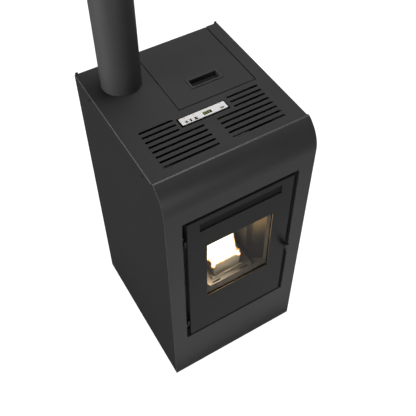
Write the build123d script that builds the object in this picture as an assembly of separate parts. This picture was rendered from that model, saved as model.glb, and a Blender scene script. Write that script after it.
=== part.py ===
from build123d import *
from math import cos, sin, tan, radians
import os

os.makedirs("parts", exist_ok=True)

# A small pellet stove. Millimetres, +X to the right, +Y to the back, +Z up. The origin is on the
# floor under the middle of the whole stove's box, door handle and air spigot included.

# ------------------------------------------------------------------ driving dimensions
cabinet_width = 450.0
cabinet_depth = 500.0
cabinet_height = 935.0       # underside of the cabinet to the top plate
foot_gap = 12.0              # floor to the underside of the cabinet
handle_reach = 20.0          # door handle ahead of the front panel
intake_reach = 40.0          # air spigot behind the rear panel
flue_reach = 500.0           # flue pipe above the top plate

seat = 0.3                   # gap between pieces that rest on or beside each other
run = 0.05                   # radial clearance of a shaft in its bearing

side_t = 2.0                 # side panel sheet
front_t = 2.5                # front panel sheet
top_t = 3.0                  # top plate
rear_t = 1.5                 # rear panel sheet
base_t = 3.0                 # base tray sheet
chassis_t = 2.0              # chassis sheet
body_t = 4.0                 # firebox plate
duct_t = 1.5                 # duct and casing sheet

front_y = -(cabinet_depth + intake_reach - handle_reach) / 2
back_y = front_y + cabinet_depth
left_x = -cabinet_width / 2
right_x = cabinet_width / 2
base_z = foot_gap
top_z = base_z + cabinet_height
floor_z = base_z + base_t    # upper face of the base tray


def deep(distance):
    """Y of a point this far behind the front panel's face."""
    return front_y + distance


def high(height):
    """Z of a point this far above the underside of the cabinet."""
    return base_z + height


def slab(x0, x1, y0, y1, z0, z1):
    """A block between two opposite corners."""
    return Pos((x0 + x1) / 2, (y0 + y1) / 2, (z0 + z1) / 2) * Box(x1 - x0, y1 - y0, z1 - z0)


def rod_x(x0, x1, y, z, r):
    """A round bar along X."""
    return Pos((x0 + x1) / 2, y, z) * Rot(0, 90, 0) * Cylinder(r, x1 - x0)


def rod_y(x, y0, y1, z, r):
    """A round bar along Y."""
    return Pos(x, (y0 + y1) / 2, z) * Rot(90, 0, 0) * Cylinder(r, y1 - y0)


def rod_z(x, y, z0, z1, r):
    """A round bar along Z."""
    return Pos(x, y, (z0 + z1) / 2) * Cylinder(r, z1 - z0)


def prism_x(outline, x0, x1):
    """A prism along X over an outline of (y, z) points."""
    face = make_face(Polyline(*outline, close=True))
    return Pos(x0, 0, 0) * extrude(Plane.YZ * face, amount=x1 - x0)


def prism_z(outline, z0, z1):
    """A prism along Z over an outline of (x, y) points."""
    face = make_face(Polyline(*outline, close=True))
    return Pos(0, 0, z0) * extrude(face, amount=z1 - z0)


def slot_z(x, y, length, width, z0, z1):
    """A round-ended slot's solid along X, standing along Z."""
    return Pos(x, y, z0) * extrude(SlotOverall(length, width), amount=z1 - z0)


def both_sides(shape):
    """The shape and its mirror image across the middle of the stove."""
    return [shape, mirror(shape, about=Plane.YZ)]


def group(shapes):
    """Several separate solids that share one node."""
    return Compound([solid for shape in shapes for solid in shape.solids()])


pieces = {}

# ------------------------------------------------------------------ feet and base tray
# A folded tray stands on four threaded feet. Each foot screws through a boss in its corner.
foot_inset = 50.0            # foot axis to the cabinet's sides
foot_pad_r = 18.0
foot_pad_t = 5.0
foot_stud_r = 4.0
foot_nut_w = 13.0            # across the flats
foot_boss_r = 9.0
foot_boss_h = 12.0
foot_travel = 10.0
tray_rim_h = 28.0

tray_x = right_x - side_t - seat
tray_y0 = front_y + front_t + seat
tray_y1 = back_y - rear_t - seat
tray = slab(-tray_x, tray_x, tray_y0, tray_y1, base_z, floor_z + tray_rim_h)
tray -= slab(-tray_x + base_t, tray_x - base_t, tray_y0 + base_t, tray_y1 - base_t,
             floor_z, floor_z + tray_rim_h)
foot_places = {
    "foot_front_left": (left_x + foot_inset, front_y + foot_inset),
    "foot_front_right": (right_x - foot_inset, front_y + foot_inset),
    "foot_rear_left": (left_x + foot_inset, back_y - foot_inset),
    "foot_rear_right": (right_x - foot_inset, back_y - foot_inset),
}
boss_top = floor_z + foot_boss_h
for foot_name, (foot_x, foot_y) in foot_places.items():
    tray += rod_z(foot_x, foot_y, floor_z, boss_top, foot_boss_r)
    tray -= rod_z(foot_x, foot_y, base_z, boss_top, foot_stud_r + run)
    pad = rod_z(foot_x, foot_y, 0, foot_pad_t, foot_pad_r)
    pad = chamfer(pad.edges().group_by(Axis.Z)[-1], foot_pad_t / 4)
    nut = extrude(RegularPolygon(foot_nut_w / 2, 6, major_radius=False),
                  amount=base_z - seat - foot_pad_t)
    stud = rod_z(foot_x, foot_y, foot_pad_t, boss_top + foot_travel, foot_stud_r)
    pieces[foot_name] = pad + Pos(foot_x, foot_y, foot_pad_t) * nut + stud
pieces["base_tray"] = tray

# ------------------------------------------------------------------ front panel
# One sheet: flat, then bent back through an arc at the top, with a small hem and a short lip
# that hangs down in front of the top plate. The door's recess is cut in it, with folded walls.
curve_r = 100.0
curve_start = 80.0           # start of the arc below the top plate's level
curve_sweep = 57.0           # degrees
hem_r = 7.0
lip_h = 12.0
recess_w = 356.4
recess_h = 595.0
recess_bottom = 208.0        # above the cabinet's underside
recess_wall_t = 1.5
frame_depth = 34.0           # face of the inner frame behind the front panel's face
edge_r = 0.8                 # softened edge of a painted sheet

curve_centre = (deep(curve_r), top_z - curve_start)


def on_arc(centre, r, angle):
    """Point of an arc in (y, z): 0 degrees faces the front and 90 faces up."""
    return (centre[0] - r * cos(radians(angle)), centre[1] + r * sin(radians(angle)))


hem_centre = on_arc(curve_centre, curve_r - hem_r, curve_sweep)
hem_back_y = hem_centre[0] + hem_r


def front_profile(offset, z_end):
    """Line of the front sheet from the bottom edge to the hem's end, this far inside its face."""
    start = on_arc(curve_centre, curve_r - offset, 0)
    middle = on_arc(curve_centre, curve_r - offset, curve_sweep / 2)
    bend = on_arc(curve_centre, curve_r - offset, curve_sweep)
    over = on_arc(hem_centre, hem_r - offset, (curve_sweep + 180) / 2)
    end = on_arc(hem_centre, hem_r - offset, 180)
    lines = [Line((start[0], base_z), start), ThreePointArc(start, middle, bend),
             ThreePointArc(bend, over, end)]
    if z_end < end[1]:
        lines.append(Line(end, (end[0], z_end)))
    return lines, (start[0], base_z), (end[0], min(z_end, end[1]))


def front_sheet(x0, x1, z_end):
    """The front sheet between two X planes, with its lip down to z_end."""
    outside, outside_foot, outside_end = front_profile(0, z_end)
    inside, inside_foot, inside_end = front_profile(front_t, z_end)
    edges = outside + inside + [Line(outside_foot, inside_foot), Line(outside_end, inside_end)]
    face = make_face([edge for line in edges for edge in line.edges()])
    return Pos(x0, 0, 0) * extrude(Plane.YZ * face, amount=x1 - x0)


recess_x = recess_w / 2
recess_z0 = high(recess_bottom)
recess_z1 = recess_z0 + recess_h
frame_y = deep(frame_depth)
lip_x = right_x - side_t - seat
front_panel = front_sheet(left_x, right_x, top_z)
front_panel += front_sheet(-lip_x, lip_x, hem_centre[1] - lip_h)
front_panel += slab(-recess_x - recess_wall_t, recess_x + recess_wall_t, front_y + front_t,
                    frame_y - seat, recess_z0 - recess_wall_t, recess_z1 + recess_wall_t)
front_panel -= slab(-recess_x, recess_x, front_y - front_t, frame_y, recess_z0, recess_z1)
front_panel = fillet([edge for edge in front_panel.edges()
                      if abs(edge.center().Y - front_y) < 0.01 and edge.center().Z < curve_centre[1]
                      and edge.length > recess_w / 2
                      and abs(edge.center().Z - base_z) > 1], edge_r)
pieces["front_panel"] = front_panel

# ------------------------------------------------------------------ side panels
# Flat sheets whose front edge follows the inside of the front panel's bend.
side_curve_r = curve_r - front_t - seat
step_drop = top_z - hem_centre[1] + seat
step_angle_sin = (curve_start - step_drop) / side_curve_r
step_y = curve_centre[0] - side_curve_r * (1 - step_angle_sin ** 2) ** 0.5
side_start = on_arc(curve_centre, side_curve_r, 0)
side_middle = on_arc(curve_centre, side_curve_r, curve_sweep / 2)
side_end = (step_y, top_z - step_drop)
side_lines = [Line((side_start[0], base_z), side_start),
              ThreePointArc(side_start, side_middle, side_end),
              Polyline(side_end, (hem_back_y + seat, top_z - step_drop),
                       (hem_back_y + seat, top_z), (back_y, top_z), (back_y, base_z),
                       (side_start[0], base_z))]
side_face = make_face([edge for line in side_lines for edge in line.edges()])
left_side = Pos(left_x, 0, 0) * extrude(Plane.YZ * side_face, amount=side_t)
left_side = fillet([edge for edge in left_side.edges()
                    if abs(edge.center().X - left_x) < 0.01
                    and (abs(edge.center().Z - top_z) < 0.01
                         or abs(edge.center().Y - back_y) < 0.01)], edge_r)

# ------------------------------------------------------------------ chassis side plates
# Upright channels that carry the front frame, the rear panel, the side panels and the top plate.
chassis_inset = 22.0         # web's outer face inside the cabinet's side
chassis_x = right_x - chassis_inset
flange_x = right_x - side_t - seat
chassis_y0 = front_y + front_t + seat
chassis_y1 = back_y - rear_t - seat
chassis_top = top_z - top_t - seat
knee_z = curve_centre[1]
knee_back = (hem_back_y + seat, hem_centre[1] - lip_h - seat)
chassis_foot_y0 = chassis_y0 + base_t + seat
chassis_foot_y1 = chassis_y1 - base_t - seat
web = prism_x([(chassis_foot_y0, floor_z), (chassis_foot_y0, knee_z),
               knee_back, (knee_back[0], chassis_top),
               (chassis_foot_y1, chassis_top), (chassis_foot_y1, floor_z)],
              chassis_x - chassis_t, chassis_x)
web += slab(chassis_x - chassis_t, flange_x, chassis_y0, chassis_foot_y0 + chassis_t,
            floor_z + tray_rim_h + seat, knee_z)
web += slab(chassis_x - chassis_t, flange_x, chassis_foot_y1 - chassis_t, chassis_y1,
            floor_z + tray_rim_h + seat, chassis_top)

# Four button-head screws hold the side panels to the channels, near the top.
screw_r = 2.0
screw_head_r = 4.0
screw_head_t = 1.4
screw_reach = 12.0
screw_drop = 20.0            # below the top plate's level
screw_depths = [104.0, 409.0]
screws = []
tabs = []
for screw_depth in screw_depths:
    screw_y = deep(screw_depth)
    screw_z = top_z - screw_drop
    tab = slab(chassis_x - chassis_t, flange_x, screw_y - 4 * screw_r, screw_y + 4 * screw_r,
               screw_z - 4 * screw_r, screw_z + 4 * screw_r)
    web += tab - rod_x(flange_x - screw_reach, flange_x, screw_y, screw_z, screw_r + run)
    hole = rod_x(left_x - 1, left_x + side_t + 1, screw_y, screw_z, screw_r + run)
    left_side -= hole
    head = rod_x(right_x, right_x + screw_head_t, screw_y, screw_z, screw_head_r)
    head = chamfer(head.edges().group_by(Axis.X)[-1], screw_head_t / 2)
    shank = rod_x(right_x + side_t - screw_reach, right_x, screw_y, screw_z, screw_r)
    screws += both_sides(head + shank)
pieces["left_side_panel"] = left_side
pieces["right_side_panel"] = mirror(left_side, about=Plane.YZ)
pieces["right_chassis_plate"] = web
pieces["left_chassis_plate"] = mirror(web, about=Plane.YZ)
pieces["panel_screws"] = group(screws)

# ------------------------------------------------------------------ firebox
# A welded plate box whose side plates reach down to the base tray. Warm-air tubes cross its upper
# part, and the front plate has the stoking opening that the door's rope seal closes.
firebox_x = 150.0            # half of its outer width
firebox_depth = 138.0
firebox_floor = 332.0        # inside floor above the cabinet's underside
firebox_top = 800.0
mouth_x = 138.0              # half of the stoking opening
mouth_top = 690.0
firebox_y0 = frame_y
firebox_y1 = firebox_y0 + firebox_depth
fire_floor_z = high(firebox_floor)
fire_roof_z = high(firebox_top) - body_t

tube_count = 8
tube_pitch = 31.0
tube_r = 13.0
tube_t = 1.5
tube_drop = 45.0             # tubes' axes below the firebox's top
tube_z = high(firebox_top - tube_drop)
chute_w = 54.0               # outside width of the pellet chute
chute_t = 1.5
pot_w = 97.0                 # burn pot
pot_depth = 93.0
pot_front = 62.0             # behind the front panel's face
pot_rim = 436.0              # above the cabinet's underside
pot_t = 4.0
support_t = 3.0
support_x = pot_w / 2 + support_t + 2
pot_y0 = deep(pot_front)
pot_y1 = pot_y0 + pot_depth
pot_rim_z = high(pot_rim)
chute_lip = 6.0              # chute's lower lip above the pot's rim
chute_slope = 45.0           # degrees
chute_l = 54.0               # outside length of the chute's upper mouth
chute_run = 42.0             # that mouth behind the firebox
igniter_r = 5.0
igniter_drop = 39.0          # igniter's axis below the pot's rim
igniter_z = pot_rim_z - igniter_drop
smoke_w = 86.0               # smoke box under the left of the firebox
smoke_x0 = -(firebox_x - body_t - seat)
smoke_x1 = smoke_x0 + smoke_w
smoke_slot_inset = 6.0       # smoke goes down behind the left cheek of the liners
smoke_slot_w = 45.7
smoke_slot_front = 98.0      # behind the front panel's face
smoke_slot_l = 62.0
smoke_slot_x0 = smoke_x0 + smoke_slot_inset
smoke_slot_x1 = smoke_slot_x0 + smoke_slot_w
smoke_slot_y0 = deep(smoke_slot_front)
smoke_slot_y1 = smoke_slot_y0 + smoke_slot_l

firebox = slab(-firebox_x, firebox_x, firebox_y0, firebox_y1, fire_floor_z - body_t,
               high(firebox_top))
firebox -= slab(-firebox_x + body_t, firebox_x - body_t, firebox_y0 + body_t,
                firebox_y1 - body_t, fire_floor_z, fire_roof_z)
firebox -= slab(-mouth_x, mouth_x, firebox_y0 - body_t, firebox_y0 + body_t, fire_floor_z,
                high(mouth_top))
tube_xs = [(i - (tube_count - 1) / 2) * tube_pitch for i in range(tube_count)]
tubes = []
for tube_x in tube_xs:
    firebox -= rod_y(tube_x, firebox_y0 - body_t, firebox_y1 + body_t, tube_z, tube_r + run)
    tube = rod_y(tube_x, firebox_y0, firebox_y1, tube_z, tube_r)
    tubes.append(tube - rod_y(tube_x, firebox_y0, firebox_y1, tube_z, tube_r - tube_t))
pieces["warm_air_tubes"] = group(tubes)

chute_lip_z = pot_rim_z + chute_lip
chute_y0 = firebox_y1 + seat
chute_rise = tan(radians(chute_slope))
chute_wall_z = chute_t / cos(radians(chute_slope))
chute_hole_h = chute_l * chute_rise - 2 * chute_wall_z
firebox -= slab(-chute_w / 2 + chute_t, chute_w / 2 - chute_t, firebox_y1 - 2 * body_t,
                firebox_y1 + body_t, chute_lip_z, chute_lip_z + chute_hole_h)
firebox -= rod_y(0, firebox_y1 - 2 * body_t, firebox_y1 + body_t, igniter_z, igniter_r + seat)
air_x = support_x - support_t
firebox -= slab(-air_x, air_x, pot_y0 + seat, pot_y1 - seat, fire_floor_z - 2 * body_t,
                fire_floor_z + body_t)
firebox -= slab(smoke_slot_x0, smoke_slot_x1, smoke_slot_y0, smoke_slot_y1,
                fire_floor_z - 2 * body_t, fire_floor_z + body_t)
for side in (-1, 1):
    outer_x = side * firebox_x
    inner_x = side * (firebox_x - body_t)
    firebox += slab(min(outer_x, inner_x), max(outer_x, inner_x), firebox_y0 + body_t, firebox_y1,
                    floor_z, fire_floor_z)
pieces["firebox_body"] = firebox

# Cast liners: a back plate in the niche behind the pot, and two folded cheeks.
liner_t = 4.0
niche_x = 84.0               # half of the niche's width
shoulder_x = 106.0
shoulder_depth = 88.0        # behind the front panel's face
cheek_x = 143.0
cheek_depth = 58.0
liner_h = 308.0
liner_z0 = fire_floor_z + seat
liner_z1 = liner_z0 + liner_h
niche_y = firebox_y1 - body_t - seat - liner_t
shoulder_y = deep(shoulder_depth)
cheek_y = deep(cheek_depth)
back_liner = slab(-niche_x - liner_t, niche_x + liner_t, niche_y, niche_y + liner_t, liner_z0,
                  liner_z1)
back_liner -= slab(-chute_w / 2, chute_w / 2, niche_y - 1, niche_y + liner_t + 1,
                   chute_lip_z - liner_t, chute_lip_z + chute_hole_h)
back_liner -= rod_y(0, niche_y - 1, niche_y + liner_t + 1, igniter_z, igniter_r + seat)
cheek = prism_z([(niche_x, niche_y - seat), (niche_x, shoulder_y), (shoulder_x, shoulder_y),
                 (cheek_x, cheek_y), (cheek_x + liner_t / 2, cheek_y + liner_t),
                 (shoulder_x + liner_t / 3, shoulder_y + liner_t),
                 (niche_x + liner_t, shoulder_y + liner_t), (niche_x + liner_t, niche_y - seat)],
                liner_z0, liner_z1)
pieces["firebox_liners"] = group([back_liner] + both_sides(cheek))

# A loose baffle plate lies on the liners and turns the smoke towards the front.
baffle_t = 12.0
baffle_gap = 22.0            # smoke gap behind the front plate
baffle_x = firebox_x - body_t - 2
baffle = slab(-baffle_x, baffle_x, firebox_y0 + body_t + baffle_gap, firebox_y1 - body_t - 2,
              liner_z1 + seat, liner_z1 + seat + baffle_t)
baffle -= slab(-baffle_x - 1, smoke_slot_x1, smoke_slot_y0, firebox_y1, liner_z1, fire_roof_z)
pieces["baffle_plate"] = baffle

# ------------------------------------------------------------------ burner
# The pot stands on a square support over the air box, and lifts out. The ash pan is a U that
# reaches round the support, and the apron plate with two ash slots covers it.
support_top = 372.0          # above the cabinet's underside
support_top_z = high(support_top)
support_wall = support_t
support_y0 = pot_y0 - support_t - 2
support_y1 = pot_y1 + support_t + 2
air_box_h = 66.0
air_box_x = 54.0
air_box_z1 = fire_floor_z - body_t - seat
air_box_z0 = air_box_z1 - air_box_h
air_box_y1 = firebox_y1
support = slab(-support_x, support_x, support_y0, support_y1, fire_floor_z, support_top_z)
support -= slab(-support_x + support_t, support_x - support_t, support_y0 + support_t,
                support_y1 - support_t, fire_floor_z - 1, support_top_z + 1)
pieces["burner_support"] = support
air_box = slab(-air_box_x, air_box_x, support_y0, air_box_y1, air_box_z0, air_box_z1)
air_box -= slab(-air_box_x + duct_t, air_box_x - duct_t, support_y0 + duct_t,
                air_box_y1 - duct_t, air_box_z0 + duct_t, air_box_z1 + 1)

pot_z0 = support_top_z + seat
pot_foot_x = support_x - support_t / 2
pot = slab(-pot_w / 2, pot_w / 2, pot_y0, pot_y1, pot_z0, pot_rim_z)
pot = fillet(pot.edges().filter_by(Axis.Z), 6)
pot += slab(-pot_foot_x, pot_foot_x, support_y0 + support_t / 2, support_y1 - support_t / 2,
            pot_z0, pot_z0 + pot_t)
pot -= slab(-pot_w / 2 + pot_t, pot_w / 2 - pot_t, pot_y0 + pot_t, pot_y1 - pot_t,
            pot_z0 + pot_t, pot_rim_z)
air_hole_r = 2.5
air_hole_pitch = 14.0
for i in range(-2, 3):
    for j in range(-2, 3):
        pot -= rod_z(i * air_hole_pitch, (pot_y0 + pot_y1) / 2 + j * air_hole_pitch, pot_z0 - 1,
                     pot_z0 + pot_t + 1, air_hole_r)
pot -= rod_y(0, pot_y1 - pot_t - 1, pot_y1 + 1, igniter_z, igniter_r)
pieces["burn_pot"] = pot
pot_lift = 60.0

apron_front = 35.0           # behind the front panel's face
apron_x = 78.0
apron_t = 3.0
apron_corner_r = 12.0
apron_top = 380.0            # above the cabinet's underside
apron_z1 = high(apron_top)
apron_y0 = deep(apron_front)
apron_y1 = niche_y - 3
apron_cut_x = support_x + seat + 1.5
apron_slot_l = 29.0
apron_slot_w = 4.5
apron_slot_x = 48.5
apron_slot_inset = 8.0       # slots' axis behind the apron's front edge
apron_slot_y = apron_y0 + apron_slot_inset
ledge_x = 60.0
ledge_h = 2.5
ledge_inset = 17.0           # ledge behind the apron's front edge
ledge_y0 = apron_y0 + ledge_inset
apron = slab(-apron_x, apron_x, apron_y0, apron_y1, apron_z1 - apron_t, apron_z1)
apron = fillet([edge for edge in apron.edges().filter_by(Axis.Z)
                if edge.center().Y < apron_y0 + 1], apron_corner_r)
ledge = slab(-ledge_x, ledge_x, ledge_y0, apron_y1, apron_z1, apron_z1 + ledge_h)
apron += fillet([edge for edge in ledge.edges().filter_by(Axis.Z)
                 if edge.center().Y < ledge_y0 + 1], apron_corner_r / 2)
apron -= slab(-apron_cut_x, apron_cut_x, support_y0 - seat - 1.5, apron_y1 + 1,
              apron_z1 - apron_t - 1, apron_z1 + ledge_h + 1)
for side in (-1, 1):
    apron -= slot_z(side * apron_slot_x, apron_slot_y, apron_slot_l, apron_slot_w,
                    apron_z1 - apron_t - 1, apron_z1 + 1)
pieces["apron_plate"] = apron
apron_lift = 40.0

pan_t = 2.0
pan_x = apron_x - 2
pan_y0 = apron_y0 + 2
pan_y1 = apron_y1
pan_z0 = fire_floor_z + seat
pan_z1 = apron_z1 - apron_t - seat
pan_cut_y0 = support_y0 - 2
pan_cut_x = support_x + 2
pan = slab(-pan_x, pan_x, pan_y0, pan_y1, pan_z0, pan_z1)
pan -= slab(-pan_cut_x, pan_cut_x, pan_cut_y0, pan_y1 + 1, pan_z0 - 1, pan_z1 + 1)
pan -= slab(-pan_x + pan_t, pan_x - pan_t, pan_y0 + pan_t, pan_cut_y0 - pan_t,
            pan_z0 + pan_t, pan_z1 + 1)
for side in (-1, 1):
    inner_x = side * (pan_cut_x + pan_t)
    outer_x = side * (pan_x - pan_t)
    pan -= slab(min(inner_x, outer_x), max(inner_x, outer_x), pan_y0 + pan_t, pan_y1 - pan_t,
                pan_z0 + pan_t, pan_z1 + 1)
pieces["ash_pan"] = pan
pan_lift = 30.0

# The hot-rod igniter comes in from the back, its tip just behind the pot's hole.
igniter_sleeve_r = 8.0
igniter_tail = 60.0
igniter = rod_y(0, support_y1 + 1, firebox_y1 + igniter_tail, igniter_z, igniter_r)
igniter += rod_y(0, firebox_y1 + seat, firebox_y1 + igniter_tail - 10, igniter_z,
                 igniter_sleeve_r)
pieces["igniter"] = igniter

# ------------------------------------------------------------------ front frame
# Upright plate behind the front panel. It closes the recess round the firebox, and carries the
# hinge brackets and the latch's keeper, which are solids of their own.
front_frame_t = 2.5
front_frame_x = chassis_x - chassis_t - seat
front_frame_lap = 12.0       # frame above the recess
front_frame_top = recess_z1 + front_frame_lap
frame_z0 = floor_z + seat
front_frame = slab(-front_frame_x, front_frame_x, frame_y, frame_y + front_frame_t, frame_z0,
                   front_frame_top)
front_frame -= slab(-firebox_x - seat, firebox_x + seat, frame_y - 1, frame_y + front_frame_t + 1,
                    fire_floor_z - body_t - seat, high(firebox_top) + seat)

# ------------------------------------------------------------------ door
# A folded steel face over a cast frame that holds the glass. The frame's rope seal closes on the
# firebox. The face has a slot through which the warm air leaves.
door_side_gap = 14.2         # beside the door in its recess
door_gap = 11.7              # above and below the door in its recess
face_t = 3.0
face_return = 18.0
face_return_t = 2.0
window_w = 212.0
window_bottom = 402.0        # above the cabinet's underside
window_h = 260.0
slot_w = 255.0
slot_bottom = 738.5          # above the cabinet's underside
slot_h = 33.0
door_x = recess_x - door_side_gap
door_z0 = recess_z0 + door_gap
door_z1 = recess_z1 - door_gap
window_x = window_w / 2
window_z0 = high(window_bottom)
window_z1 = window_z0 + window_h
slot_z0 = high(slot_bottom)
face_y1 = front_y + face_t

pin_depth = 4.0              # hinge axis behind the front panel's face
pin_r = 2.5
knuckle_r = 3.9
knuckle_l = 18.0
pin_offset = 6.0             # hinge axis beside the door's edge
hinge_inset = 76.3           # hinges from the door's lower and upper edge
pin_x = -(door_x + pin_offset)
pin_y = deep(pin_depth)
hinge_zs = [door_z0 + hinge_inset, door_z1 - hinge_inset]

latch_inset = 8.5            # latch axis inside the door's edge
latch_height = 486.0         # above the cabinet's underside
latch_x = door_x - latch_inset
latch_z = high(latch_height)
latch_r = 3.5
latch_boss_t = 2.0

face = slab(-door_x, door_x, front_y, front_y + face_return, door_z0, door_z1)
face = fillet(face.edges().group_by(Axis.Y)[0], edge_r)
face -= slab(-door_x + face_return_t, door_x - face_return_t, face_y1, front_y + face_return,
             door_z0 + face_return_t, door_z1 - face_return_t)
face -= slab(-window_x, window_x, front_y - 1, face_y1 + 1, window_z0, window_z1)
face -= slab(-slot_w / 2, slot_w / 2, front_y - 1, face_y1 + 1, slot_z0, slot_z0 + slot_h)
face -= rod_y(latch_x, front_y - 1, face_y1 + 1, latch_z, latch_r + run)
brackets = []
arm_t = 9.0
pin_top = 2.0                # pin's end above the knuckle
for hinge_z in hinge_zs:
    knuckle_z0 = hinge_z - knuckle_l / 2
    face += rod_z(pin_x, pin_y, knuckle_z0, knuckle_z0 + knuckle_l, knuckle_r)
    face += slab(pin_x, -door_x + face_return_t / 2, pin_y, pin_y + knuckle_r, knuckle_z0,
                 knuckle_z0 + knuckle_l)
    face -= rod_z(pin_x, pin_y, knuckle_z0, knuckle_z0 + knuckle_l, pin_r + run)
    arm = slab(pin_x - pin_r - 1, pin_x + pin_r + 1, pin_y - pin_r - 1, frame_y,
               knuckle_z0 - seat - arm_t, knuckle_z0 - seat)
    brackets.append(arm + rod_z(pin_x, pin_y, knuckle_z0 - seat, knuckle_z0 + knuckle_l + pin_top,
                                pin_r))
pieces["door_face"] = face

seal_lap = 7.0               # middle line of the rope seal outside the stoking opening
seal_x = mouth_x + seal_lap
seal_z0 = fire_floor_z - seal_lap
seal_z1 = high(mouth_top) + seal_lap
seal_w = 10.0
seal_groove = 4.0
door_frame_t = 22.3
frame_lap_x = 15.0           # cast frame outside the rope's middle line
frame_lap_z = 12.0
door_frame_x = seal_x + frame_lap_x
door_frame_z0 = seal_z0 - frame_lap_z
door_frame_z1 = seal_z1 + frame_lap_z
frame_back_y = face_y1 + door_frame_t
glass_t = 4.0
glass_edge = 10.0            # glass beyond the window on each side
gasket_t = 0.9
glass_x = window_x + glass_edge
glass_z0 = window_z0 - glass_edge
glass_z1 = window_z1 + glass_edge
glass_y0 = face_y1 + gasket_t + 0.1
pocket_y1 = glass_y0 + glass_t + gasket_t + 0.1


def seal_ring(half_width, y0, y1):
    """A rounded square ring about the rope seal's middle line."""
    height = seal_z1 - seal_z0
    outside = RectangleRounded(2 * seal_x + 2 * half_width, height + 2 * half_width, 14)
    inside = RectangleRounded(2 * seal_x - 2 * half_width, height - 2 * half_width,
                              14 - half_width)
    place = Plane(origin=(0, y1, (seal_z0 + seal_z1) / 2), x_dir=(1, 0, 0), z_dir=(0, -1, 0))
    return extrude(place * (outside - inside), amount=y1 - y0)


door_frame = slab(-door_frame_x, door_frame_x, face_y1, frame_back_y, door_frame_z0,
                  door_frame_z1)
door_frame += rod_y(latch_x, face_y1, frame_back_y, latch_z, latch_r + latch_boss_t)
door_frame -= slab(-window_x, window_x, face_y1 - 1, frame_back_y + 1, window_z0, window_z1)
door_frame -= slab(-glass_x - 1, glass_x + 1, face_y1 - 1, pocket_y1, glass_z0 - 1, glass_z1 + 1)
door_frame -= seal_ring(seal_w / 2 + seat, frame_back_y - seal_groove, frame_back_y + 1)
door_frame -= rod_y(latch_x, face_y1 - 1, frame_back_y + 1, latch_z, latch_r + run)
pieces["door_frame"] = door_frame
pieces["door_glass"] = slab(-glass_x, glass_x, glass_y0, glass_y0 + glass_t, glass_z0, glass_z1)


def glass_gasket(y0):
    """A flat ring of rope between the glass and the steel."""
    ring = slab(-glass_x, glass_x, y0, y0 + gasket_t, glass_z0, glass_z1)
    return ring - slab(-window_x - 1, window_x + 1, y0 - 1, y0 + gasket_t + 1, window_z0 - 1,
                       window_z1 + 1)


rope = seal_ring(seal_w / 2, frame_back_y - seal_groove + seat, frame_y - seat)
pieces["door_rope_seals"] = group([rope, glass_gasket(face_y1 + 0.05),
                                   glass_gasket(glass_y0 + glass_t)])

# The latch: a small drop handle on a spindle through the door, with a cam behind the frame that
# turns in behind the keeper's lip.
handle_w = 12.0
handle_l = 32.0
handle_t = 8.0
handle_drop = 9.0            # middle of the handle below its axis
handle_side = 5.0            # and beside it, over the gap round the door
handle_hub_r = 6.5
cam_t = 4.0
cam_w = 8.0
cam_l = 20.0
cam_gap = 0.7
cam_y0 = frame_back_y + cam_gap
cam_y1 = cam_y0 + cam_t
handle_y0 = front_y - handle_reach
handle = Pos(latch_x + handle_side, handle_y0 + handle_t, latch_z - handle_drop) \
    * Rot(0, 90, 0) * Rot(90, 0, 0) * extrude(SlotOverall(handle_l, handle_w), amount=handle_t)
handle_box = handle.bounding_box()
handle = Pos(0, handle_y0 - handle_box.min.Y, 0) * handle
handle = fillet(handle.edges().group_by(Axis.Y)[0], 2)
handle += rod_y(latch_x, handle_y0 + 1, handle_y0 + handle_t, latch_z, handle_hub_r)
handle += rod_y(latch_x, handle_y0 + handle_t / 2, cam_y1, latch_z, latch_r)
handle += rod_y(latch_x, handle_y0 + handle_t, front_y - seat, latch_z, latch_r + 1.5)
pieces["latch_handle"] = handle
cam_arm = cam_l - cam_w
cam = slab(latch_x - cam_w / 2, latch_x + cam_w / 2, cam_y0, cam_y1, latch_z, latch_z + cam_arm)
cam += rod_y(latch_x, cam_y0, cam_y1, latch_z, cam_w / 2 + 1)
cam += rod_y(latch_x, cam_y0, cam_y1, latch_z + cam_arm, cam_w / 2)
cam -= rod_y(latch_x, cam_y0 - 1, cam_y1 + 1, latch_z, latch_r + run)
pieces["latch_cam"] = cam

keeper_x0 = door_x + 1.5
keeper_x1 = recess_x - 0.7
keeper_web_x = latch_x + cam_arm + cam_w / 2 + 1.5
keeper_h = 16.0
keeper_lip_t = 3.7
keeper = slab(keeper_web_x, keeper_x1, cam_y0 - seat - keeper_lip_t, frame_y,
              latch_z - keeper_h / 2, latch_z + keeper_h / 2)
keeper += slab(keeper_x0, keeper_x1, cam_y0 - seat - keeper_lip_t, cam_y0 - seat,
               latch_z - keeper_h / 2, latch_z + keeper_h / 2)
pieces["hinge_brackets_and_keeper"] = group(brackets + [keeper])
pieces["front_frame"] = front_frame

# ------------------------------------------------------------------ top plate
# Cut with the convection slots, the display's opening, the flue's hole and the lid's opening,
# which is open at the back and has a rim folded down on three sides.
vent_rows = 8
vent_long_rows = 5
vent_pitch = 18.4
vent_front = 85.0            # first row behind the front panel's face
vent_outer = 177.4           # outer end of every slot from the middle
vent_long_inner = 18.1
vent_short_inner = 79.8
vent_w = 7.0

panel_open_x0 = -73.0
panel_open_x1 = 71.0
panel_open_depth = 176.5
panel_open_h = 34.0

flue_side = 96.0             # flue axis from the cabinet's left side
flue_back = 91.5             # flue axis ahead of the rear panel's face
jacket_r = 55.0
liner_pipe_r = 40.0
pipe_t = 1.0
flue_x = left_x + flue_side
flue_y = back_y - flue_back

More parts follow.
